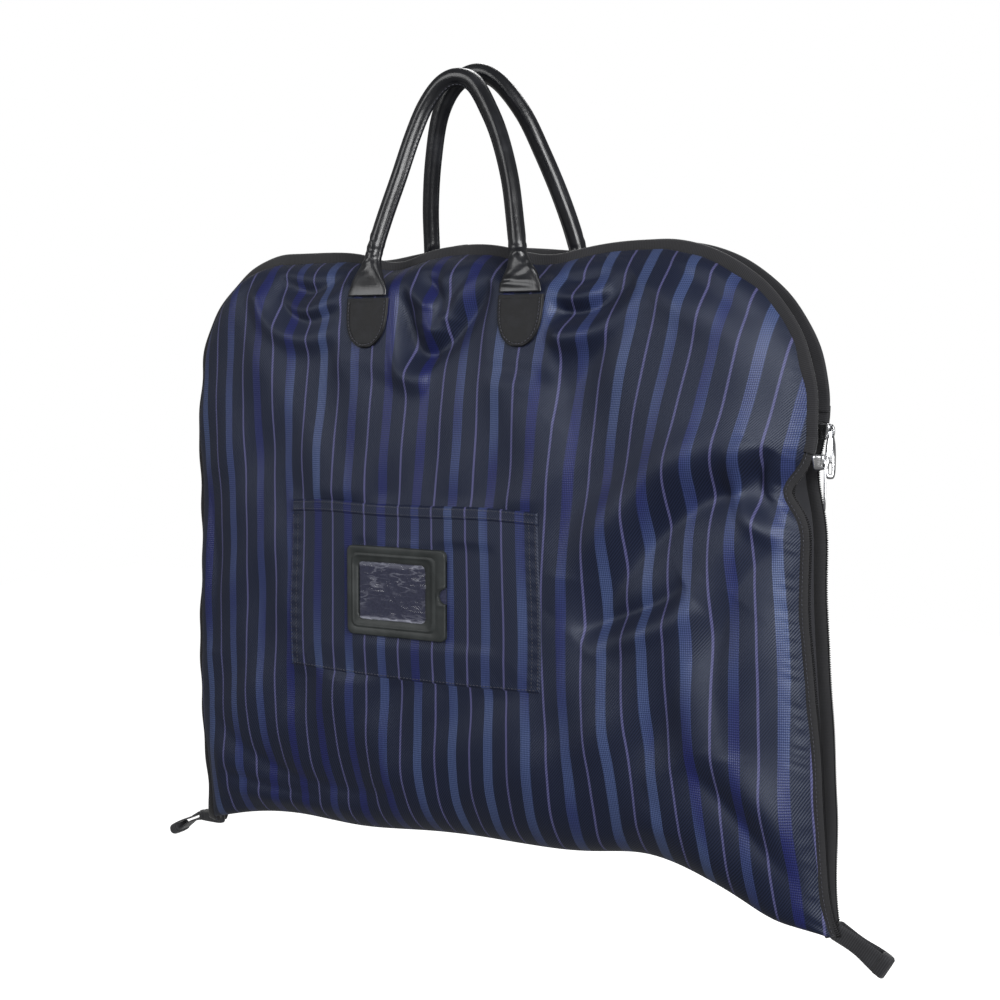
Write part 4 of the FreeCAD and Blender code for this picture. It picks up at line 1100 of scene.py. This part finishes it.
def sleeve_line(side, name, arch):
    """The middle line of a handle, leaning in to the other one, and the directions that carry its section."""
    gap = min(abs(corner[1]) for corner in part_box(f"{name}_handle_cover")) + 0.0075
    lean = (FOOT_DEPTH - gap) / ARCH_HEIGHT
    x, rise = even(smooth_line(np.array(arch) / 1000, 420), 420).T
    spine = np.stack([FOOT_MIDDLE[side] + x, side * (FOOT_DEPTH - rise * lean),
                      CREASE + rise * math.sqrt(1 - lean**2)], axis=1)
    run = lengths(spine)
    from_foot = np.minimum(run, run[-1] - run)
    ends = ease(0.018, 0.004, from_foot)[:, None]
    hand = np.where(run < run[-1] / 2, 1.0, -1.0)[:, None]
    upright = hand * np.array([0, -side * lean, 1.0])
    tangent = unit(unit(np.gradient(spine, axis=0)) * (1 - ends) + upright * ends)
    plane = unit(np.array([0, 1.0, side * lean]))
    out = unit(np.broadcast_to(plane, spine.shape) * side)
    return spine, run, from_foot, unit(np.cross(out, tangent)) * -side, out


def handle(side, name, arch, seed):
    """Section: half width and half thickness go from the round grip to the flat foot as an S curve."""
    body = f"{name}_handle"
    spine, run, from_foot, across, out = sleeve_line(side, name, arch)
    flat = ease(0.034, 0.001, from_foot)[:, None]
    turn = circle(ROUND)
    c, s = np.cos(turn)[None], np.sin(turn)[None]
    lobes = 1 + 0.030 * np.cos(3 * turn + run[:, None] * 9) + 0.016 * np.cos(5 * turn - run[:, None] * 22)
    bulk = lobes * (1 - flat) + flat
    puff = 0.00075 * buckles(run, turn, seed)
    power = 2 / (2 + 1.2 * flat)
    half_wide = GRIP + (FOOT_WIDE - GRIP) * flat
    half_thick = GRIP + (FOOT_THICK - GRIP) * flat**1.6
    seam = 0.0016 * np.exp(-(((turn - math.pi) / 0.16) ** 2)) * (1 - flat)
    x = signed_power(c, power) * (half_wide * bulk + puff * 0.4) - seam
    y = signed_power(s, power) * (half_thick * bulk + puff)
    profile = np.stack([x, y], axis=-1)
    points = carry(spine, across, out, profile)
    uv = ring_uv(run, np.arange(ROUND + 1) * TAU / ROUND * 0.0073)
    sleeve = tube(body, spine, across, out, profile, LEATHER, uv, flip=side == BACK)
    dress(sleeve, body, "handle_leather", f"{name}_handle_cover")
    inside = from_foot > 0.032
    wound = 1 + 0.06 * np.cos(3 * (turn + run[inside, None] * 260))
    section = np.stack([c * wound, s * wound], axis=-1) * 0.0049
    line = (spine[inside], across[inside], out[inside])
    core = tube(f"{name}_handle_rope", *line, section, ROPE, flip=side == BACK)
    dress(core, body, "rope", f"{name}_handle_core")
    seam_point = (points[:, ROUND // 2 - 1] + points[:, ROUND // 2 + 1]) / 2 + out * 0.0013
    rows = [(seam_point[40:-40], out[40:-40])]
    stitches(f"{name}_handle_stitches", rows, body, every=0.0036, long=0.0024, wide=0.0003)
    return run[-1]


for (side, name), arch, seed in zip(HALVES, (FRONT_ARCH, BACK_ARCH), (5, 12)):
    print(f"{name} handle: {handle(side, name, arch, seed):.3f} m of sleeve")

# %% [markdown]
# ## Handle patches
# Each foot ends at a leather tongue, sewn through the cloth. It lies on the cloth, so its grid takes the
# cloth's own depth and adds the leather's thickness, which falls to nothing at the cut edge.
# %% Tongue patches
def egg(wide, share):
    """Half the tongue's width at a share of its length: wide * (1 - share^3.4)^0.5, straight, then round."""
    return wide * np.sqrt(np.clip(1 - np.clip(share, 0, 1) ** 3.4, 0, 1))


def tongue(name, side, middle, body, node_name):
    """One patch on its sloping plane, and the sewn row inside its edge."""
    low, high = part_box(node_name)
    top, bottom = high[2] - FOLD + 0.0012, low[2] - FOLD
    wide = (high[0] - low[0]) / 2 - 0.0005
    v = np.linspace(0, 1, 44)[:, None]
    u = np.sin(np.linspace(-1, 1, 40) * math.pi / 2)[None, :]
    height = top - (top - bottom) * v
    half = egg(wide, (top - height) / (top - bottom))
    x = middle + half * u
    from_edge = np.minimum(half * (1 - np.abs(u)), np.minimum(top - height + 0.001, height - bottom + 0 * u))
    thick = 0.0019 * ease(-0.0002, 0.0013, from_edge) - 0.0003 * np.exp(-((from_edge - 0.0030) / 0.0007) ** 2)
    depth = patch_depth(side, x, height) + thick
    points = layers(x, side * depth, FOLD + height)
    uv = layers(height, x)
    dress(grid_mesh(name, points, PATCH, uv, flip=side == BACK), body, "handle_leather", node_name)
    down = np.sin(np.linspace(0, math.pi / 2, 60))
    down = np.concatenate([down, down[-2::-1]])
    h = top - 0.002 - (top - bottom - 0.0048) * down
    px = middle + egg(wide - 0.0028, down) * np.where(np.arange(len(down)) < 60, 1.0, -1.0)
    row = np.stack([px, side * (patch_depth(side, px, h) + 0.0019), FOLD + h], axis=1)
    return row, (0, side, 0)


for side, name in HALVES:
    body, rows = f"{name}_half", []
    for where, hand in (("left", -1), ("right", 1)):
        middle = FOOT_MIDDLE[side] + hand * FOOT_APART
        rows.append(tongue(f"{name}_patch_{where}", side, middle, body, f"{name}_handle_patch_{where}"))
    stitches(f"{name}_patch_stitches", rows, body, every=0.0030, long=0.0021, wide=0.00033)
print("four patches")

# %% [markdown]
# ## Patch pocket
# The pocket is a separate piece of the same cloth, hemmed along its mouth and sewn on three sides. It could
# be shrink-wrapped, but a grid that takes the cloth's depth and adds a little room lies just as close, and
# its stripes run on from those behind it.
# %% Pocket and hem
pocket_low, pocket_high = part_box("pocket_panel")
P_LEFT, P_RIGHT = pocket_low[0], pocket_high[0]
P_LOW, P_HIGH = pocket_low[2] - FOLD, pocket_high[2] - FOLD
HEM = P_HIGH - (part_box("pocket_hem")[0][2] - FOLD) + 0.0012
CARD_LEVEL = 0.239


def pocket_place(x, height):
    """The pocket's own drape: sewn sides stay down, the middle stands off, and the card's path stays flat."""
    from_side = np.minimum(x - P_LEFT, P_RIGHT - x)
    from_low = height - P_LOW
    room = 0.0016 * ease(0.004, 0.03, np.minimum(from_side, from_low + 0.004))
    slack = 0.0012 * np.sin(x * TAU / 0.11 + 1.0) * ease(0.20, 0.31, height) * ease(0.0, 0.03, from_side)
    pucker = 0.00025 * np.sin(height * TAU / 0.011 + 3 * x) * hump(from_side, 0.006, 0.005)
    pucker = pucker + 0.00025 * np.sin(x * TAU / 0.012) * hump(from_low, 0.006, 0.005)
    held = ease(-0.095, -0.085, x) * ease(0.052, 0.035, x) * ease(0.045, 0.035, np.abs(height - CARD_LEVEL))
    shape = cloth_depth(x, height, FRONT) + 0.0011 + room + slack * (1 - held) + pucker
    limit = -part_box("label_frame")[1][1] - 0.0001
    return shape * (1 - held) + np.minimum(shape, limit) * held


def pocket_edge(x, height):
    """A slightly uneven outline: the mouth dips to the right and the lower edge sags in the middle."""
    share = (height - P_LOW) / (P_HIGH - P_LOW)
    across = (x - P_LEFT) / (P_RIGHT - P_LEFT)
    rise = 0.002 * np.sin(math.pi * across) * (2 * share - 1) + 0.0012 * np.sin(across * 9) * share
    shift = 0.0016 * np.sin(math.pi * share * 1.4 + 0.4) * (2 * across - 1)
    return x + shift, height + rise


def pocket_sheet(name, low, high, extra, rows, node_name):
    """A stretch of the pocket between two heights, with its edge turned down to the cloth."""
    v = np.linspace(0, 1, rows)[:, None]
    u = (1 - np.cos(np.linspace(0, math.pi, 150)))[None, :] / 2
    u = 0.6 * u + 0.4 * np.linspace(0, 1, 150)[None, :]
    x, height = np.broadcast_arrays(P_LEFT + (P_RIGHT - P_LEFT) * u, high + (low - high) * v)
    edge = np.minimum(np.minimum(x - P_LEFT, P_RIGHT - x), np.minimum(high - height, height - low))
    depth = pocket_place(x, height) + extra - 0.0014 * (1 - ease(-0.0001, 0.0012, edge))
    px, ph = pocket_edge(x, height)
    points = np.stack([px, -depth, FOLD + lifted(px, ph, FRONT)], axis=-1)
    uv = np.stack([x, height], axis=-1)
    piece = dress(grid_mesh(name, points, SATIN, uv), "front_half", "striped_cloth", node_name)


def pocket_row(start, end, count=120):
    """Points of a straight sewn row on the pocket, from start to end as (x, height)."""
    t = np.linspace(0, 1, count)
    x, height = start[0] + (end[0] - start[0]) * t, start[1] + (end[1] - start[1]) * t
    px, ph = pocket_edge(x, height)
    depth = pocket_place(x, height) + (0.0008 if min(start[1], end[1]) > P_HIGH - HEM else 0.0)
    return np.stack([px, -depth, FOLD + lifted(px, ph, FRONT)], axis=1), (0, -1, 0)


pocket_sheet("patch_pocket", P_LOW, P_HIGH, 0.0, 100, "pocket_panel")
pocket_sheet("pocket_mouth_hem", P_HIGH - HEM, P_HIGH, 0.0009, 14, "pocket_hem")
SIDE_ROWS = (0.0022, 0.0075)
foot, reach = P_LOW + 0.003, 0.003
sewn = [pocket_row((P_LEFT + inset, P_HIGH - 0.012), (P_LEFT + inset, foot)) for inset in SIDE_ROWS]
sewn += [pocket_row((P_RIGHT - inset, P_HIGH - 0.002), (P_RIGHT - inset, foot)) for inset in SIDE_ROWS]
for level in (P_LOW + 0.0024, P_HIGH - 0.002, P_HIGH - 0.0078):
    sewn.append(pocket_row((P_LEFT + reach, level), (P_RIGHT - reach, level), 160))
stitches("pocket_stitches", sewn, "front_half", every=0.0032, long=0.0023, wide=0.0003)
print(f"pocket {P_RIGHT - P_LEFT:.3f} by {P_HIGH - P_LOW:.3f} m")

# %% [markdown]
# ## Label window
# A moulded frame is welded to the pocket, with a clear film behind its opening and a notch for the thumb that
# draws the card out. Bevelled boxes would miss the rolled lips, so one ring of sections runs from the outer
# edge to the opening: wall, rounded edge, flat, groove, raised lip, slope and inner wall.
# %% Frame and film
def round_box(left, right, low, high, radius, count=40):
    """Points round a box with round corners: count per corner on quarter circles, joined by the sides."""
    turn = np.linspace(0, math.pi / 2, count)
    centres = ((right - radius, high - radius), (left + radius, high - radius),
               (left + radius, low + radius), (right - radius, low + radius))
    parts = []
    for k, (cx, cy) in enumerate(centres):
        angle = turn + k * math.pi / 2
        parts.append(np.stack([cx + radius * np.cos(angle), cy + radius * np.sin(angle)], axis=1))
    ring = np.concatenate(parts)
    return even(np.vstack([ring, ring[:1]]), 321)[:-1]


frame_low, frame_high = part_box("label_frame")
film_low, film_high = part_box("label_film")
F_MIDDLE = (frame_low[2] + frame_high[2]) / 2
WINDOW = (frame_low[0] + 0.010, frame_low[0] + 0.076, F_MIDDLE - 0.0235, F_MIDDLE + 0.0235)


def label_frame():
    """Sections from the outer edge to the opening: a station is a share of the way in and of the depth."""
    outer = round_box(frame_low[0], frame_high[0], frame_low[2], frame_high[2], 0.005)
    inner = round_box(*WINDOW, 0.005)
    stations = [(0, 0.0), (0, 0.55), (0.004, 0.80), (0.03, 0.93), (0.07, 0.97), (0.40, 0.97), (0.43, 0.90),
                (0.47, 0.90), (0.50, 1.0), (0.56, 1.03), (0.62, 1.0), (0.65, 0.90), (0.78, 0.80),
                (0.90, 0.66), (0.97, 0.55), (1.0, 0.42), (1.0, 0.0)]
    share, level = np.array(stations).T
    ring = outer[None] * (1 - share[:, None, None]) + inner[None] * share[:, None, None]
    gap = ring[..., 1] - F_MIDDLE
    notch = np.sqrt(np.clip(0.0062**2 - gap**2, 0, None)) * (ring[..., 0] > frame_high[0] - 0.03)
    rim = frame_high[0] - ring[..., 0]
    ring[..., 0] -= np.clip(notch - rim * 0.72, 0, None)
    back, front = -frame_high[1] - 0.0003, -frame_low[1]
    depth = back + (front - back) * level[:, None] * np.ones(ring.shape[1])
    lip = hump(np.hypot(gap, ring[..., 0] - frame_high[0]) - 0.0072, 0.0006, 0.0007)
    depth = depth + 0.0004 * lip * (level[:, None] > 0.85) * (ring[..., 0] > frame_high[0] - 0.02)
    points = np.stack([ring[..., 0], -depth, ring[..., 1]], axis=-1)
    piece = grid_mesh("label_window_frame", points, PLASTIC, wrap=(False, True), flip=True)
    dress(piece, "front_half", "label_plastic", "label_frame")


def film():
    """Thin vinyl, crumpled: its ridges are the second largest of seven tilted zigzag waves."""
    x = np.linspace(film_low[0], film_high[0], 150)[None, :]
    z = np.linspace(film_high[2], film_low[2], 110)[:, None]
    rng = np.random.default_rng(4)
    folds = []
    for _ in range(7):
        turn, wave, phase = rng.uniform(0, math.pi), rng.uniform(0.009, 0.026), rng.uniform(0, 1)
        s = ((x * math.cos(turn) + z * math.sin(turn)) / wave + phase) % 1
        folds.append(np.abs(s - 0.5) * 2 * wave / 0.02)
    crumple = np.sort(np.array(np.broadcast_arrays(*folds)), axis=0)[-2] - 0.7
    from_side = np.minimum(x - film_low[0], film_high[0] - x)
    edge = np.minimum(from_side, np.minimum(z - film_low[2], film_high[2] - z))
    depth = -film_high[1] + 0.0003 + crumple * 0.0009 * ease(0.0, 0.01, edge)
    depth = np.clip(depth, -film_high[1] - 0.0001, -film_low[1] + 0.0004)
    points = layers(x, -depth, z)
    piece = dress(grid_mesh("label_window_film", points, FILM), "front_half", "clear_film", "label_film")


label_frame()
film()
print(f"label window {WINDOW[1] - WINDOW[0]:.3f} by {WINDOW[3] - WINDOW[2]:.3f} m")

# %% [markdown]
# ## Corner loops
# At each bottom corner a loop of webbing is sewn in, to tie the folded halves together. A torus would be too
# round: webbing is flat and stiff, so a flat strip runs out, turns tightly and comes back, and a folded hem
# is sewn over its tip.
# %% Webbing loops
LOOP_GAP = 0.0035
LOOP_DROOP = math.radians(30)


def corner_loop(name, hand, long, start, body, node_name):
    """The strip's middle line is two long waves a gap apart, joined by half circles, closed on itself.

    On the right the webbing stands on edge and parts to front and back; on the left it lies flat.
    """
    along = np.array([hand * math.cos(LOOP_DROOP), 0, -math.sin(LOOP_DROOP)])
    upright = np.array([-along[2], 0, along[0]])
    width_way, off = (upright, DEEP) if hand > 0 else (DEEP, np.cross(along, DEEP))
    turn = np.linspace(-math.pi / 2, math.pi / 2, 20)[1:-1]
    run = np.linspace(0, long, 40)
    squeeze = 1 - 0.55 * hump(run, long * 0.35, long * 0.28)
    s = np.concatenate([run, long + LOOP_GAP * np.cos(turn), run[::-1], -LOOP_GAP * np.cos(turn)])
    d = LOOP_GAP * np.concatenate([-squeeze, np.sin(turn), squeeze[::-1], -np.sin(turn)])
    sway = 0.0016 * hand * np.sin(s / long * 2.6)
    spine = start + s[:, None] * along + (d + sway)[:, None] * off
    tangent = unit(np.roll(spine, -1, axis=0) - np.roll(spine, 1, axis=0))
    flare = (0.0072 + 0.0016 * ease(long * 0.45, long, s))[:, None]
    x = np.array([-1, -0.93, -0.5, 0, 0.5, 0.93, 1, 0.93, 0.5, 0, -0.5, -0.93])[None] * flare
    y = np.array([0, -0.8, -1, -1, -1, -0.8, 0, 0.8, 1, 1, 1, 0.8])[None] * np.full_like(flare, 0.0007)
    points = carry(spine, width_way, np.cross(tangent, width_way), np.stack([x, y], axis=-1))
    uv = ring_uv(np.append(lengths(spine), lengths(spine)[-1] + 0.001), np.linspace(0, 0.033, 13))
    dress(grid_mesh(name, points, WEBBING, uv, wrap=(True, True)), body, "webbing", node_name)
    t = np.linspace(0, 1, 16)
    spine = start + (long - 0.006 + 0.0095 * t)[:, None] * along + sway[len(run)] * off
    taper = np.sqrt(np.clip(1 - (2 * t - 1) ** 6, 0.05, 1))[:, None, None]
    ring = round_ring(flare.max() * 1.05, LOOP_GAP + 0.0016, 30, 4)[None] * (0.9 + 0.1 * taper)
    ring[..., 1] *= taper[..., 0]
    uv = ring_uv(t * 0.0095, np.linspace(0, 0.05, 31))
    dress(tube(f"{name}_hem", spine, width_way, off, ring, WEBBING, uv), body, "webbing")


def loop_tab(left_end, right_end, level):
    """The left loop's sewn end: a flat webbing tab from inside the corner out to where the loop swings."""
    t = np.linspace(0, 1, 24)
    spine = np.stack([left_end + (right_end - left_end) * t, np.zeros(24), np.full(24, level)], axis=1)
    close = np.sqrt(np.clip(1 - (2 * t - 1) ** 6, 0.03, 1))
    size = np.stack([0.0046 * (0.8 + 0.2 * close), 0.0052 * close], axis=1)
    ring = round_ring(1, 1, 28, 4)[None] * size[:, None]
    uv = ring_uv(t * (right_end - left_end), np.linspace(0, 0.04, 29))
    tab = tube("left_loop_tab", spine, (0.0, 0, 1), DEEP, ring, WEBBING, uv, flip=True)
    dress(tab, "back_half", "webbing")


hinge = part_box("corner_loop_left")[1]
loop_tab(hinge[0] - 0.004, hinge[0] + 0.024, hinge[2] - 0.005)
start = (hinge[0] - 0.001, 0, hinge[2] - 0.005)
corner_loop("left_corner_loop", -1, 0.034, start, "left_loop", "corner_loop_left")
low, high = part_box("corner_loop_right")
start = (low[0] + 0.0042, 0, high[2] - 0.0105)
corner_loop("right_corner_loop", 1, 0.040, start, "right_loop", "corner_loop_right")
print("corner loops done")

# %% [markdown]
# ## Parts that keep their shape
# The boards behind the handle patches, the plate behind the card and the card itself are flat in real life
# too, so the engineering parts stay and only take a finish.
# %% Finishes on kept parts
KEPT = {"label_backing": (PLASTIC, "label_plastic"), "label_card": (PAPER, "card_paper")}
for _, name in HALVES:
    for where in ("left", "right"):
        KEPT[f"{name}_handle_stiffener_{where}"] = (BOARD, "stiff_board")
for node_name, (material, _) in KEPT.items():
    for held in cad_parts[node_name].material_slots:
        held.material = material
print("kept parts:", len(KEPT))

# %% [markdown]
# ## Camera, floor and light
# The bag hangs by its grip over a plain white floor, low enough to leave room for the half that swings down
# when the bag opens. One big soft light stands on the right, a weaker one on the left and one behind, and a
# white surround fills the shadows.
# %% Stage
CAMERA_SPOT = (0.685591, -1.138318, FOLD + 0.42425)
CAMERA_TILT, CAMERA_TURN = 4.7796, 30.4356
LENS = 58.147
FLOOR_DROP = 0.24
BAG_MIDDLE = (0, 0, -0.3)


def stage():
    """A white floor that lights nothing, and the camera, turned to the right side and tilted down."""
    low = FOLD - HEIGHT - FLOOR_DROP
    floor = grid_mesh("floor", [[(-6, -6, low), (6, -6, low)], [(-6, 6, low), (6, 6, low)]], FLOOR)
    floor.visible_diffuse = False
    floor.visible_glossy = False
    camera = bpy.data.objects.new("camera", bpy.data.cameras.new("camera"))
    camera.data.lens = LENS
    camera.data.sensor_width = 36.0
    camera.location = CAMERA_SPOT
    camera.rotation_euler = (math.radians(90 - CAMERA_TILT), 0.0, math.radians(CAMERA_TURN))
    bpy.context.collection.objects.link(camera)
    bpy.context.scene.camera = camera


def soft_light(name, place, size, power):
    """A round area light that faces the bag's middle."""
    lamp = bpy.data.lights.new(name, "AREA")
    lamp.shape, lamp.size, lamp.energy = "DISK", size, power
    light = bpy.data.objects.new(name, lamp)
    light.location = place
    way = np.subtract(place, BAG_MIDDLE)
    light.rotation_euler = (math.acos(way[2] / np.linalg.norm(way)), 0.0, math.atan2(way[0], -way[1]))
    bpy.context.collection.objects.link(light)


def floor_paint():
    """A white that glows almost evenly, so that the floor and the surround run together."""
    material, tree, shader = finish("floor_paint", Specular_IOR_Level=0.1, Emission_Strength=0.86)
    shader.inputs["Emission Color"].default_value = (1, 1, 1, 1)
    grain = noise(tree, object_place(tree), 40.0)
    colour = mix(tree, grain, (0.93, 0.93, 0.93), (0.97, 0.97, 0.97))
    feed(tree, shader, Base_Color=colour, Roughness=0.85 + grain * 0.1)
    return material


FLOOR = floor_paint()
stage()
soft_light("key", (2.3, -1.7, 0.45), 2.2, 106)
soft_light("fill", (-1.3, -2.2, 0.5), 1.6, 22)
soft_light("back", (-0.6, 2.2, 1.7), 1.6, 30)
world = bpy.data.worlds.new("surround")
world.use_nodes = True
surround = world.node_tree.nodes["Background"]
surround.inputs[0].default_value = (1, 1, 1, 1)
# the surround is bright to the camera and dim to everything else
seen = node(world.node_tree, "ShaderNodeLightPath")
strength = node(world.node_tree, "ShaderNodeMath", {"operation": "MULTIPLY_ADD"}, seen, 0.84, 0.16)
world.node_tree.links.new(strength.socket, surround.inputs[1])
bpy.context.scene.world = world
bpy.context.scene.view_settings.view_transform = "Standard"
print("stage set")
